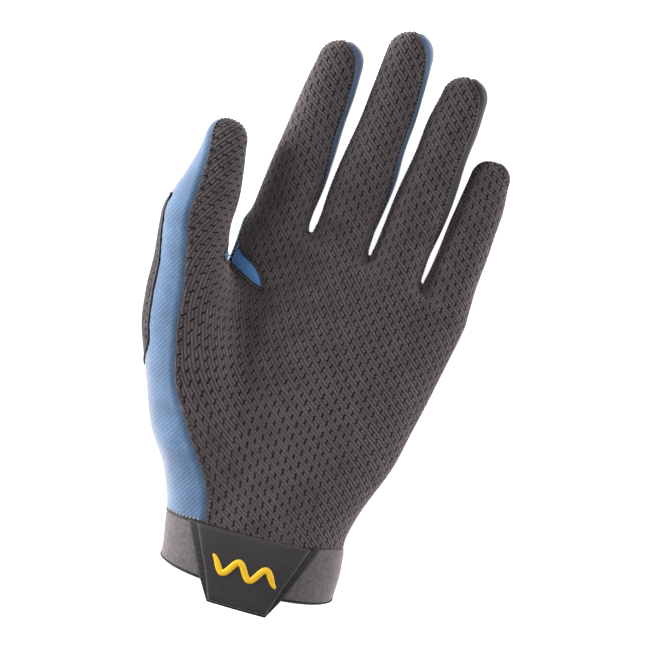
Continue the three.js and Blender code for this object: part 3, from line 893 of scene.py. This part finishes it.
def yarn_tree():
    """Turns loose edges into round yarns as thick as their `radius`, in the material that their
    `yarn` number names, and leaves the faces as they are."""
    tree = bpy.data.node_groups.new("lay_yarns", "GeometryNodeTree")
    tree.interface.new_socket("Geometry", in_out="INPUT", socket_type="NodeSocketGeometry")
    tree.interface.new_socket("Sides", in_out="INPUT", socket_type="NodeSocketInt")
    tree.interface.new_socket("Geometry", in_out="OUTPUT", socket_type="NodeSocketGeometry")
    start = add(tree, "NodeGroupInput")
    number = add(tree, "GeometryNodeInputNamedAttribute", {"Name": "yarn"}, data_type="INT")
    is_yarn = add(tree, "FunctionNodeCompare", {2: number.outputs["Attribute"], 3: 0},
                  data_type="INT", operation="GREATER_THAN")
    parts = add(tree, "GeometryNodeSeparateGeometry",
                {"Geometry": start.outputs["Geometry"], "Selection": is_yarn.outputs[0]},
                domain="POINT")
    lines = add(tree, "GeometryNodeMeshToCurve", {"Mesh": parts.outputs["Selection"]})
    radius = add(tree, "GeometryNodeInputNamedAttribute", {"Name": "radius"}, data_type="FLOAT")
    thick = add(tree, "GeometryNodeSetCurveRadius",
                {"Curve": lines.outputs[0], "Radius": radius.outputs["Attribute"]})
    ring = add(tree, "GeometryNodeCurvePrimitiveCircle",
               {"Resolution": start.outputs["Sides"], "Radius": 1.0})
    tubes = add(tree, "GeometryNodeCurveToMesh",
                {"Curve": thick.outputs[0], "Profile Curve": ring.outputs[0], "Fill Caps": True})
    if "Scale" in tubes.inputs:
        tree.links.new(radius.outputs["Attribute"], tubes.inputs["Scale"])
    laid = tubes.outputs[0]
    for i, key in enumerate(YARNS):
        same = add(tree, "FunctionNodeCompare", {2: number.outputs["Attribute"], 3: i + 1},
                   data_type="INT", operation="EQUAL")
        laid = add(tree, "GeometryNodeSetMaterial",
                   {"Geometry": laid, "Selection": same.outputs[0],
                    "Material": MATERIALS[key]}).outputs[0]
    both = add(tree, "GeometryNodeJoinGeometry")
    tree.links.new(parts.outputs["Inverted"], both.inputs[0])
    tree.links.new(laid, both.inputs[0])
    real = add(tree, "GeometryNodeRealizeInstances", {"Geometry": both.outputs[0]})
    smooth = add(tree, "GeometryNodeSetShadeSmooth", {"Geometry": real.outputs[0]})
    end = add(tree, "NodeGroupOutput")
    tree.links.new(smooth.outputs[0], end.inputs[0])
    return tree


YARN_TREE = yarn_tree()
YARN_SIDES = 5  # enough for yarns this thin


def chains(edges):
    """Runs of points, end to end, from loose edges."""
    near = {}
    for a, b in edges:
        near.setdefault(a, []).append(b)
        near.setdefault(b, []).append(a)
    runs, seen = [], set()
    ends = sorted(k for k, v in near.items() if len(v) != 2)
    for start in ends + sorted(near):
        for after in near[start]:
            if (start, after) in seen:
                continue
            run, here, there = [start], start, after
            while (here, there) not in seen:
                seen.update(((here, there), (there, here)))
                run.append(there)
                if len(near[there]) != 2:
                    break
                step = [n for n in near[there] if n != here]
                here, there = there, step[0] if step else here
            runs.append(run)
    return [r for r in runs if len(r) > 3]


# ---- the panels' seams ----------------------------------------------------------------------

# Edges that two faces share, and those round the wrist that only one has.
edge_rows = np.sort(np.concatenate([faces[:, [i, (i + 1) % 3]] for i in range(3)]), 1)
edge_face = np.tile(np.arange(len(faces)), 3)
order = np.lexsort((edge_rows[:, 1], edge_rows[:, 0]))
edge_rows, edge_face = edge_rows[order], edge_face[order]
same = (edge_rows[1:] == edge_rows[:-1]).all(1)
first, second = edge_face[:-1][same], edge_face[1:][same]
shared_edges = edge_rows[:-1][same]
alone = np.ones(len(edge_rows), bool)
alone[:-1] &= ~same
alone[1:] &= ~same
wrist_edges = edge_rows[alone & (points[edge_rows[:, 0], 1] < 30)]

KIND_OF = {"palm_panel": "palm", "thumb_side_panel": "side", "back_panel": "back",
           "back_panel_outer": "outer", "thumb_gusset": "gusset"}


def is_sewn(a, b):
    """Whether two panels meet in a seam, and not only where a digit is divided at a joint."""
    kinds = [KIND_OF.get(n, n.split("_")[-1]) for n in (a, b)]
    digit_of = [n.split("_")[0] if n not in KIND_OF else "" for n in (a, b)]
    if kinds[0] == "palm" and kinds[1] == "palm":
        return bool(digit_of[0] and digit_of[1] and digit_of[0] != digit_of[1])
    if "palm" in kinds:
        return True
    if a in KIND_OF and b in KIND_OF:
        return True
    if digit_of[0] == digit_of[1]:
        return False
    cloth = ["dark" if n.startswith(("ring", "little")) or n == "back_panel_outer" else "blue"
             for n in (a, b)]
    return cloth[0] != cloth[1] or bool(digit_of[0] and digit_of[1])


seam_lines = {}
sewn_edges = []
for n in np.flatnonzero(panel[first] != panel[second]):
    a, b = panel[first[n]], panel[second[n]]
    if not is_sewn(a, b):
        continue
    edge = shared_edges[n]
    inward = centres[first[n]] - points[edge].mean(0)
    if a > b:
        a, b, inward = b, a, -inward
    seam_lines.setdefault((a, b), []).append((tuple(edge), inward))
    sewn_edges.append(edge)

seam_tree = KDTree(len(sewn_edges))
for n, (a, b) in enumerate(sewn_edges):
    seam_tree.insert((points[a] + points[b]) / 2, n)
seam_tree.balance()
seam_gap = np.array([seam_tree.find(p)[2] for p in points])

# Seams pull the fabric in along their line and leave it a little proud beside it.
groove = -0.6 * bell(seam_gap, 0.75) + 0.22 * bell(seam_gap - 2.1, 1.1)
wrist_drop = -0.5 * bell(points[:, 1] - cuff_seam(points[:, 0]), 0.9)

# The tops of the three layers: plain fabric, pressed in under the thumb's patch, then the
# palm's knit, then the patch, which is drawn down at its rim.
overlay_at = overlay_field(points)
fabric_top = points + outward * (groove + wrist_drop - 1.2 * ease(overlay_at + 0.6))[:, None]
knit_top = points + outward * (0.4 * groove - KNIT_DEPTH)[:, None]
overlay_top = points + outward * (-0.3 - 0.45 * bell(overlay_at, 0.8))[:, None]


def knit_edge(p):
    """Above zero inside the outline of the palm's knit."""
    inside = np.minimum(np.minimum(back_field(p), side_field(p)), -gusset_field(p))
    inside = np.minimum(inside, p[:, 1] - cuff_seam(p[:, 0]))
    for d in digits.values():
        inside = np.where(d.covers(p), d.palm_side(p) * 0.5, inside)
    return inside


is_knit = np.array([is_knit_panel(n) for n in panel])
lay_knit(np.flatnonzero(is_knit), panel[is_knit], knit_top, knit_edge)

over = (overlay_at[faces].mean(1) > 0) & (centres[:, 0] < -44)
over_names = np.where(hand, "thumb_back_patch", "thumb_base_patch").astype(object)
lay_knit(np.flatnonzero(over), over_names[over], overlay_top, overlay_field)


def smooth_line(run, rounds=4):
    """The points of a run, with the net's small zigzags taken out."""
    line = points[run].copy()
    for _ in range(rounds):
        line[1:-1] = (line[:-2] + 2 * line[1:-1] + line[2:]) / 4
    return line


def ways_into(edges, sign=1):
    """For each point of a seam, the way into one of its panels, from its edges' own ways."""
    into = {}
    for (a, b), inward in edges:
        into[a] = into.get(a, 0) + inward * sign
        into[b] = into.get(b, 0) + inward * sign
    return into


def lay_stitches(name, edges, inset, kind=THREAD, lift=0.2, skip=None):
    """Stitches beside a seam. Each edge comes with a direction into the panel called name."""
    into = ways_into(edges)
    for run in chains([e for e, _ in edges]):
        line = smooth_line(run)
        length = lengths_along(line)
        starts = np.arange(0.5, length[-1] - STITCH_LENGTH - 0.2, STITCH_PITCH)
        if not len(starts):
            continue
        at = (starts[:, None] + STITCH_LENGTH * np.array([0, 0.33, 0.67, 1])).ravel()
        spots = points_at(at, length, line)
        way = points_at(at, length, np.array([into[n] for n in run]))
        along = unit(points_at(at + 0.2, length, line) - points_at(at - 0.2, length, line))
        way = unit(way - along * (way * along).sum(1, keepdims=True))
        spots = onto_form(spots + way * inset, 2)
        out, _ = slope_of(spots)
        sunk = 0.45 * (1 - ease(out[:, 2:] / 0.6))  # pulled in where they would spoil the outline
        spots = (spots + out * (lift - sunk)).reshape(-1, 4, 3)
        for stitch in spots:
            if skip is None or not skip(stitch[1]):
                lay(name, stitch, STITCH_RADIUS * np.array([0.6, 1, 1, 0.6]), kind)


for (a, b), edges in seam_lines.items():
    turned = [(e, -w) for e, w in edges]
    holder, own = (a, edges) if ("palm" in a) or not ("palm" in b) else (b, turned)
    lay_stitches(holder, own, STITCH_INSET)
    if holder.startswith("little") and holder.endswith("tip_palm"):
        lay_stitches(holder, own, STITCH_INSET + SECOND_ROW, skip=lambda p: p[0] > 43)


def lay_cord(name, edges, radius, lift, kind=THREAD, into=None, inset=0.0):
    """A cord along a line of edges, on the panel called name, set in by inset if into gives the
    way into the panel at each point."""
    for run in chains(edges):
        line = smooth_line(run)
        out, _ = slope_of(line)
        if into is not None:
            line = line + unit(np.array([into[n] for n in run])) * inset
        lay(name, line + out * lift, np.full(len(line), radius), kind)


# The knit is folded under at its seams, which shows as a rounded edge.
for (a, b), edges in seam_lines.items():
    for name, sign in ((a, 1), (b, -1)):
        if is_knit_panel(name):
            lay_cord(name, [e for e, _ in edges], *KNIT_EDGE, RIB, ways_into(edges, sign), 0.25)

# The gusset's own edge, and the fold across it where the thumb meets the hand.
for (a, b), edges in seam_lines.items():
    if "thumb_gusset" in (a, b):
        lay_cord("thumb_gusset", [e for e, _ in edges], *GUSSET_CORD)
fold = np.array([(x, y, 26.0) for x, y in GUSSET_FOLD])
fold = points_at(np.linspace(0, 2, 9), range(3), fold)
for _ in range(12):
    fold[:, 2] -= hand_distance(fold) * 0.8
lay("thumb_gusset", fold + np.array([0, 0, 0.05]), np.full(len(fold), 0.2), THREAD)

# Tucks across the backs of the fingers, on both sides of each joint, thinner at their ends.
turns = np.radians(np.linspace(*TUCK_TURNS, TUCK_POINTS))
tuck_radii = TUCK_RADIUS * np.clip(0.3 + 2 * np.minimum(turns - turns[0], turns[-1] - turns), 0, 1)
for digit in fingers:
    for i, joint in enumerate(digit.joints):
        for shift in TUCK_SHIFTS:
            level = digit.root[1] + (joint + shift) * digit.along[1]
            x, z, w = digit.at(np.array(level))
            spots = onto_form(np.stack([x + w * np.sin(turns), np.full(TUCK_POINTS, level),
                                        z + w * digit.flat * np.cos(turns)], -1), 4)
            out, _ = slope_of(spots)
            lay(f"{digit.name}_{digit.parts[i + (shift > 0)]}_back", spots - out * 0.1,
                tuck_radii, DARK_TUCK if digit.cloth == "dark" else BLUE_TUCK)

# The rim of the patch over the back of the thumb.
patch_rim = over[first] != over[second]
for name, chosen in (("thumb_back_patch", over & hand), ("thumb_base_patch", over & ~hand)):
    rim = patch_rim & (chosen[first] | chosen[second])
    lay_cord(name, [tuple(e) for e in shared_edges[rim]], *PATCH_CORD)

# The seam round the wrist, with pale stitches that stop at the pull tab.
wrist_line = [tuple(e) for e in wrist_edges]
lay_cord("cuff_seam", wrist_line, *CUFF_CORD)
up_glove = np.array([0.0, 1.0, 0.0])
lay_stitches("cuff_seam", [(e, up_glove) for e in wrist_line], 0.75, PALE_THREAD, 0.02,
             skip=lambda p: -23 < p[0] and p[2] > 25)

# ---- making the pieces ----------------------------------------------------------------------


def new_object(name, verts, polygons, materials, indices=None):
    """A smooth-shaded mesh in the scene. indices gives each face's material."""
    mesh = bpy.data.meshes.new(name)
    mesh.from_pydata([tuple(v) for v in verts], [], [tuple(map(int, f)) for f in polygons])
    for m in materials:
        mesh.materials.append(m)
    if indices is not None:
        mesh.polygons.foreach_set("material_index", np.asarray(indices, np.int32))
    mesh.polygons.foreach_set("use_smooth", np.ones(len(polygons), bool))
    mesh.update()
    made = bpy.data.objects.new(name, mesh)
    bpy.context.scene.collection.objects.link(made)
    return made


def with_yarns(piece, laid):
    """The piece with its yarns, made by the node tree and turned into a plain mesh."""
    mesh = piece.data
    old_points, old_edges = len(mesh.vertices), len(mesh.edges)
    sizes = [len(spots) for spots, _, _ in laid]
    spots = put(np.concatenate([s for s, _, _ in laid]))
    radii = np.concatenate([np.zeros(old_points)] + [r / 1000 for _, r, _ in laid])
    kinds = np.concatenate([np.zeros(old_points, int)] + [np.full(n, k) for n, (_, _, k) in
                                                          zip(sizes, laid)])
    begin = np.cumsum([0] + sizes[:-1]) + old_points
    links = np.concatenate([np.stack([np.arange(n - 1), np.arange(1, n)], -1) + b
                            for n, b in zip(sizes, begin)])
    mesh.vertices.add(len(spots))
    mesh.edges.add(len(links))
    flat = np.zeros((old_points + len(spots)) * 3, np.float32)
    mesh.vertices.foreach_get("co", flat)
    flat[old_points * 3:] = spots.ravel()
    mesh.vertices.foreach_set("co", flat)
    ends = np.zeros((old_edges + len(links)) * 2, np.int32)
    mesh.edges.foreach_get("vertices", ends)
    ends[old_edges * 2:] = links.ravel()
    mesh.edges.foreach_set("vertices", ends)
    mesh.attributes.new("yarn", "INT", "POINT").data.foreach_set("value", kinds.astype(np.int32))
    mesh.attributes.new("radius", "FLOAT", "POINT").data.foreach_set(
        "value", radii.astype(np.float32))
    mesh.update()
    sewing = piece.modifiers.new("yarns", "NODES")
    sewing.node_group = YARN_TREE
    sides = next(s.identifier for s in YARN_TREE.interface.items_tree if s.name == "Sides")
    sewing[sides] = YARN_SIDES
    ready = piece.evaluated_get(bpy.context.evaluated_depsgraph_get())
    plain = bpy.data.meshes.new_from_object(ready)
    name = piece.name
    bpy.data.objects.remove(piece)
    made = bpy.data.objects.new(name, plain)
    bpy.context.scene.collection.objects.link(made)
    for key in ("yarn", "radius"):
        if key in plain.attributes:
            plain.attributes.remove(plain.attributes[key])
    return made


def panel_object(name, chosen, top_of, cloth, laid=()):
    """One panel as a closed shell with its yarns laid on."""
    mine = faces[chosen]
    used, flat = np.unique(mine, return_inverse=True)
    flat = flat.reshape(mine.shape)
    top = top_of[used]
    under = top - outward[used] * SHELL
    n = len(used)
    rows = np.concatenate([flat[:, [i, (i + 1) % 3]] for i in range(3)]).tolist()
    known = set(map(tuple, rows))
    rim = [(a, b) for a, b in rows if (b, a) not in known]
    sides = [(b, a, a + n, b + n) for a, b in rim]
    polygons = [*map(tuple, flat.tolist()), *map(tuple, (flat[:, ::-1] + n).tolist()), *sides]
    indices = [0] * len(flat) + [1] * len(flat) + [0] * len(sides)
    piece = new_object(name, put(np.concatenate([top, under])), polygons,
                       [MATERIALS[cloth], MATERIALS["lining"]], indices)
    mesh = piece.data
    rim_edges = {tuple(sorted(e)) for e in rim}
    rim_edges |= {(a + n, b + n) for a, b in rim_edges}
    sharp = mesh.attributes.new("sharp_edge", "BOOLEAN", "EDGE")
    ends = np.zeros(len(mesh.edges) * 2, np.int32)
    mesh.edges.foreach_get("vertices", ends)
    ends = np.sort(ends.reshape(-1, 2), 1)
    sharp.data.foreach_set("value", [tuple(e) in rim_edges for e in ends.tolist()])
    return with_yarns(piece, laid) if len(laid) else piece


def settle(piece, body, replaced=(), span=None):
    """Gives a piece its place on a body; given a span, it only bakes the piece's place into its
    points, with no bend.
    """
    if replaced:
        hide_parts(*replaced)
    if span is None:
        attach(piece, body)
    else:
        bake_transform(piece)
    return piece


# The palm's cross threads are a piece of their own, to keep each piece light.
cross = [laid for laid in yarns["palm_panel"] if laid[2] == WEB]
settle(panel_object("palm_panel_knit", panel == "palm_panel", knit_top, "lining",
                    [laid for laid in yarns["palm_panel"] if laid[2] != WEB]),
       "hand", ["palm_panel"])
settle(with_yarns(new_object("palm_cross_threads", [], [], []), cross), "hand")
for name, cloth, slot, replaced in (
        ("thumb_side_panel", "blue", "stretch_blue", ["thumb_side_panel"]),
        # The gusset uses the blue fabric painted brighter, as painted light for the shade it lies
        # in.
        ("thumb_gusset", "leaf", "stretch_blue", ["thumb_gusset"]),
        ("back_panel", "blue", "stretch_blue", ["back_panel"]),
        ("back_panel_outer", "dark", "stretch_dark", [])):
    settle(panel_object(name + "_fabric", panel == name, fabric_top, cloth,
                        yarns.get(name, ())), "hand", replaced)

# Each length of a digit, between the body before it and its own.
for digit in digits.values():
    d, rest, parent = digit.name, digit.behind, "hand"
    cuts = [0, *digit.joints, digit.last_bend + 3]
    for part, body, low, high in zip(digit.parts, digit.bodies, cuts, cuts[1:]):
        child = f"{d}_{body}"
        span = (digit.root + digit.along * (low + 0.4), digit.root + digit.along * (high - 0.4))
        name = f"{d}_{part}_palm"
        settle(panel_object(name + "_knit", panel == name, knit_top, "lining", yarns[name]),
               (parent, child), [f"{d}_{part}_sleeve", f"{child}_palm"], span)
        extra = [f"{d}_fourchette"] if part == "knuckle" else []
        name = f"{d}_{part}_{rest}"
        settle(panel_object(name + "_fabric", panel == name, fabric_top, digit.cloth,
                            yarns.get(name, ())), (parent, child),
               [f"{child}_{rest}", *extra], span)
        parent = child

# The patch over the back of the thumb, in two lengths because it crosses the thumb's root.
settle(panel_object("thumb_back_patch_knit", over & hand, overlay_top, "lining",
                    yarns["thumb_back_patch"]), "hand", ["thumb_back_patch"])
settle(panel_object("thumb_base_patch_knit", over & ~hand, overlay_top, "lining",
                    yarns["thumb_base_patch"]), ("hand", "thumb_proximal"), [],
       (thumb.root + thumb.along * 0.4, thumb.root + thumb.along * 14.6))

# The cord and the pale stitches round the top of the cuff.
settle(with_yarns(new_object("cuff_seam_thread", [], [], []), yarns["cuff_seam"]),
       "hand")

# ---- the cuff -------------------------------------------------------------------------------

# Sections of the wrist, like the palm's.
WRIST = curve_through([(-20, -0.3, 32.2, 21.2, 19.6), (-4, -0.4, 32.7, 21.2, 19.7),
                       (3, -0.5, 33.2, 21.2, 19.8), (10, -1.2, 33.9, 21.2, 20.0),
                       (16, -2.0, 34.0, 21.2, 20.0), (24, -2.2, 34.0, 21.0, 20.0)])
WRIST_POWER = 2.35
AROUND = 200  # points round the whole cuff
CUFF_WALL = 2.2


def wrist_ring(turn, y, grow):
    """A point of the wrist's outline: turn 0 is the middle of the palm side, and it grows
    towards the little finger."""
    x, w, z, h = (float(v) for v in WRIST(np.array(float(y))))
    s, c = math.sin(turn), math.cos(turn)
    return (x + (w + grow) * math.copysign(abs(s) ** (2 / WRIST_POWER), s), y,
            z + (h + grow) * math.copysign(abs(c) ** (2 / WRIST_POWER), c))


def wrist_top(x, y):
    """The height of the wrist's palm side."""
    mid, w, z, h = WRIST(np.asarray(y, float))
    side = np.clip(np.abs(x - mid) / w, 0, 0.97)
    return z + h * (1 - side**WRIST_POWER) ** (1 / WRIST_POWER)


def cuff_edges(turn):
    """The cuff's lower and upper edge at a turn round the wrist."""
    low = -1.4 - 2.6 * math.cos(turn) + 1.2 * max(math.sin(turn), 0)
    x = wrist_ring(turn, 15, 0)[0]
    return low, float(cuff_seam(np.array(x))) + 0.5


def make_solid(name, verts, polygons, cloth):
    """A closed body with its doubled points merged and its faces turned outward."""
    piece = new_object(name, put(verts), polygons, [MATERIALS[cloth]])
    mesh = bmesh.new()
    mesh.from_mesh(piece.data)
    bmesh.ops.remove_doubles(mesh, verts=mesh.verts, dist=1e-6)
    bmesh.ops.recalc_face_normals(mesh, faces=mesh.faces)
    mesh.to_mesh(piece.data)
    mesh.free()
    return piece


def loft(rows, closed_along=False):
    """Quads round a row of rings, with a cap on each end unless the rings close up."""
    n, m = rows.shape[:2]
    quads = [(i * m + j, (i + 1) % n * m + j, (i + 1) % n * m + (j + 1) % m, i * m + (j + 1) % m)
             for i in range(n if closed_along else n - 1) for j in range(m)]
    if not closed_along:
        quads += [tuple(range(m)), tuple((n - 1) * m + j for j in range(m - 1, -1, -1))]
    return quads


def cuff_band(name, turn_a, turn_b, cloth, replaced, wall=CUFF_WALL, low=0.0, high=None,
              proud=0.0):
    """A length of the cuff between two turns, with rounded edges and a pinched top seam. low
    moves its lower edge, high is its width if it isn't the whole cuff's, and proud is how far
    it stands out past the cuff."""
    whole = abs(turn_b - turn_a) > 6.2
    count = max(int(AROUND * abs(turn_b - turn_a) / (2 * math.pi)), 6)
    half, bevel, steps = wall / 2, wall * 0.35, 12
    rows = []
    for turn in np.linspace(turn_a, turn_b, count, endpoint=not whole):
        y0, seam = cuff_edges(turn)
        y0 += low
        y1 = seam if high is None else y0 + high
        span = y1 - y0 - 2 * bevel
        ring = [(half, y0 + bevel + span * f) for f in np.linspace(0, 1, steps)]
        ring += [(half * math.cos(t), y1 - bevel + bevel * math.sin(t))
                 for t in np.linspace(0, math.pi, 6)[1:-1]]
        ring += [(-half, y0 + bevel + span * f) for f in np.linspace(1, 0, steps)]
        ring += [(half * math.cos(t), y0 + bevel + bevel * math.sin(t))
                 for t in np.linspace(math.pi, 2 * math.pi, 6)[1:-1]]
        edge = 9 if whole else min(abs(turn - turn_a), abs(turn - turn_b)) * 30
        pinch = 0.5 * math.exp(-(edge / 0.8) ** 2)
        row = []
        for out, y in ring:
            down = 0.75 * math.exp(-((seam - y) / 1.1) ** 2)
            row.append(wrist_ring(turn, y, out - half + proud - down - (pinch if out > 0 else 0)))
        rows.append(row)
    rows = np.array(rows)
    piece = make_solid(name, rows.reshape(-1, 3), loft(rows, whole), cloth)
    return settle(piece, "hand", replaced)


INSERT = 0.36  # half the turn of the elastic insert under the tab
cuff_band("cuff_thumb_side_neoprene", -INSERT, -math.pi, "neoprene",
          ["cuff_thumb_side"])
cuff_band("cuff_little_side_neoprene", INSERT, math.pi, "neoprene",
          ["cuff_little_side"])
cuff_band("cuff_insert_fabric", -INSERT, INSERT, "dark", ["cuff_insert"])
cuff_band("cuff_hem_binding", 0, 2 * math.pi, "binding", ["cuff_hem"],
          wall=2.7, low=-0.7, high=1.5, proud=0.2)

# ---- the pull tab ---------------------------------------------------------------------------

# Left and right edges from the bottom to the top: x, y.
FLANGE = (((-11.6, -11.1), (-16.2, -4.0), (-26.2, 15.2)),
          ((10.3, -10.9), (13.7, -4.6), (22.6, 17.2)))
FACE = (((-11.2, -10.3), (-16.0, 1.0), (-22.9, 15.0)),
        ((10.2, -9.9), (13.8, 1.8), (19.3, 17.0)))
TAB_RIB_PITCH = 0.95  # fine ribs moulded across the flange


def closer_at_ends(count):
    """Shares from 0 to 1 that are closer together near both ends, to shape the plate's edge."""
    turn = np.linspace(0, math.pi, count)
    return (1 - np.cos(turn)) / 2 * 0.6 + turn / math.pi * 0.4


def plate(name, edges, low, high, bevel, cloth, replaced, ribs=0.0):
    """A moulded plate that follows the wrist, with a rounded edge. low and high are its
    underside and top over the wrist, and ribs is the height of fine ribs across its length."""
    edges = np.array(edges, float)
    rows, columns = 56, 72
    along, across = closer_at_ends(rows), closer_at_ends(columns)[None, :, None]
    sides = []
    for side in edges:
        knots = lengths_along(side)
        sides.append(points_at(along, knots / knots[-1], side)[:, None])
    flat = sides[0] * (1 - across) + sides[1] * across
    outline = np.concatenate([edges[0], edges[1][::-1]])
    inset = np.full(flat.shape[:2], 99.0)
    for a, b in zip(outline, np.roll(outline, -1, axis=0)):
        way = b - a
        share = np.clip(((flat - a) @ way) / (way @ way), 0, 1)
        inset = np.minimum(inset, np.linalg.norm(flat - a - share[..., None] * way, axis=-1))
    fall = np.clip(1 - inset / bevel, 0, 1)
    base = wrist_top(flat[..., 0], flat[..., 1])
    rise = high - bevel * (1 - np.sqrt(1 - fall**2)) * 0.9
    rise = rise + ribs * np.sin(flat[..., 1] * 2 * math.pi / TAB_RIB_PITCH) * (inset > 0.3)
    top = np.concatenate([flat, (base + rise)[..., None]], -1).reshape(-1, 3)
    under = np.concatenate([flat, (base + low)[..., None]], -1).reshape(-1, 3)
    n = rows * columns
    quads = []
    for i in range(rows - 1):
        for j in range(columns - 1):
            a = i * columns + j
            quads.append((a, a + 1, a + columns + 1, a + columns))
            quads.append((n + a, n + a + columns, n + a + columns + 1, n + a + 1))
    loop = [*range(columns), *(i * columns + columns - 1 for i in range(1, rows)),
            *((rows - 1) * columns + j for j in range(columns - 2, -1, -1)),
            *(i * columns for i in range(rows - 2, 0, -1))]
    quads += [(a, n + a, n + b, b) for a, b in zip(loop, loop[1:] + loop[:1])]
    piece = make_solid(name, np.concatenate([top, under]), quads, cloth)
    return settle(piece, "hand", replaced)


plate("pull_tab_flange", FLANGE, 0.15, 1.7, 0.6, "binding", ["pull_tab"], 0.1)
plate("pull_tab_face", FACE, 1.4, 3.1, 0.9, "rubber", ["tab_face"])


def wave_emblem():
    """A raised wave line across the tab, thinner at its ends."""
    steps, waves, width, rise, middle = 120, 2.5, 25.0, 2.6, (-1.5, 3.4)
    rows = []
    for t in np.linspace(0, 1, steps):
        turn = 2 * math.pi * waves * t
        x, y = middle[0] + width * (t - 0.5), middle[1] + rise * math.cos(turn)
        slope = -rise * 2 * math.pi * waves / width * math.sin(turn)
        side = np.array([-slope, 1.0]) / math.hypot(slope, 1)
        base = float(wrist_top(x, y))
        half = 1.15 * min(1, 5 * t + 0.45, 5 * (1 - t) + 0.45)
        rows.append([(x + side[0] * s * half, y + side[1] * s * half, base + up)
                     for s, up in ((-1, 2.9), (-1, 3.4), (-0.82, 3.6), (0, 3.65), (0.82, 3.6),
                                   (1, 3.4), (1, 2.9))])
    rows = np.array(rows)
    piece = make_solid("tab_wave_emblem", rows.reshape(-1, 3), loft(rows), "yellow")
    return settle(piece, "hand", ["tab_emblem"])


wave_emblem()

# ---- the patch that the glove rests on ------------------------------------------------------


def rest_patch():
    """A rounded pad in the place of the frame's own back patch, flat where the glove rests."""
    low, high = (np.array(c) * 1000 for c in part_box("back_patch"))
    half, corner = (high - low)[:2] / 2, 9.0
    outline = []
    for cx, cy, turn in ((1, 1, 0), (-1, 1, 90), (-1, -1, 180), (1, -1, 270)):
        for step in range(9):
            t = math.radians(turn + step * 90 / 8)
            outline.append((cx * (half[0] - corner) + corner * math.cos(t),
                            cy * (half[1] - corner) + corner * math.sin(t)))
    outline = np.array(outline)
    rows = [np.concatenate([outline * shrink, np.full((len(outline), 1), z)], 1)
            for z, shrink in ((1.9, 0.985), (1.0, 1.0), (0.5, 1.0), (0.15, 0.993), (0.0, 0.97))]
    rows = np.array(rows) + ORIGIN
    piece = make_solid("back_patch_pad", rows.reshape(-1, 3), loft(rows), "rubber")
    return settle(piece, "hand", ["back_patch"])


rest_patch()

# ---- floor, light and camera ----------------------------------------------------------------

# A lit white table, so that the gaps between the fingers stay bright. It is just under the patch
# that the glove rests on, in metres.
FLOOR_HALF, FLOOR_LEVEL = 3, -2e-4
board = bpy.data.materials.new("lit_white_board")
board.use_nodes = True
board_shader = board.node_tree.nodes["Principled BSDF"]
board_shader.inputs["Base Color"].default_value = linear("f6f6f6")
board_shader.inputs["Roughness"].default_value = 0.9
board_shader.inputs["Emission Color"].default_value = (1, 1, 1, 1)
board_shader.inputs["Emission Strength"].default_value = 0.8
corners = [(x * FLOOR_HALF, y * FLOOR_HALF, FLOOR_LEVEL)
           for x, y in ((-1, -1), (1, -1), (1, 1), (-1, 1))]
floor = new_object("floor", corners, [(0, 1, 2, 3)], [board])

world = bpy.data.worlds.new("studio")
bpy.context.scene.world = world
world.use_nodes = True
world.node_tree.nodes["Background"].inputs["Color"].default_value = (1, 1, 1, 1)
world.node_tree.nodes["Background"].inputs["Strength"].default_value = 0.2


def area_light(name, place, target, size, watts):
    """A square lamp that looks at a point, in metres."""
    data = bpy.data.lights.new(name, "AREA")
    data.size, data.energy = size, watts
    lamp = bpy.data.objects.new(name, data)
    bpy.context.scene.collection.objects.link(lamp)
    lamp.location = place
    lamp.rotation_euler = (Vector(target) - Vector(place)).to_track_quat("-Z", "Y").to_euler()


area_light("key", (0, 0, 0.24), (0, -0.02, 0.03), 0.18, 0.21)
area_light("rim_left", (-0.6, 0.05, 0.15), (0, 0, 0.02), 0.3, 7)
area_light("rim_right", (0.6, 0.1, 0.14), (0, 0, 0.02), 0.3, 3)

camera_data = bpy.data.cameras.new("camera")
camera_data.lens, camera_data.sensor_width = 100, 36
camera = bpy.data.objects.new("camera", camera_data)
bpy.context.scene.collection.objects.link(camera)
camera.location = (-0.0027, 0.0105, 0.692)
camera.rotation_euler = (0, 0, math.radians(16.4))
bpy.context.scene.camera = camera
bpy.context.scene.view_settings.view_transform = "Standard"
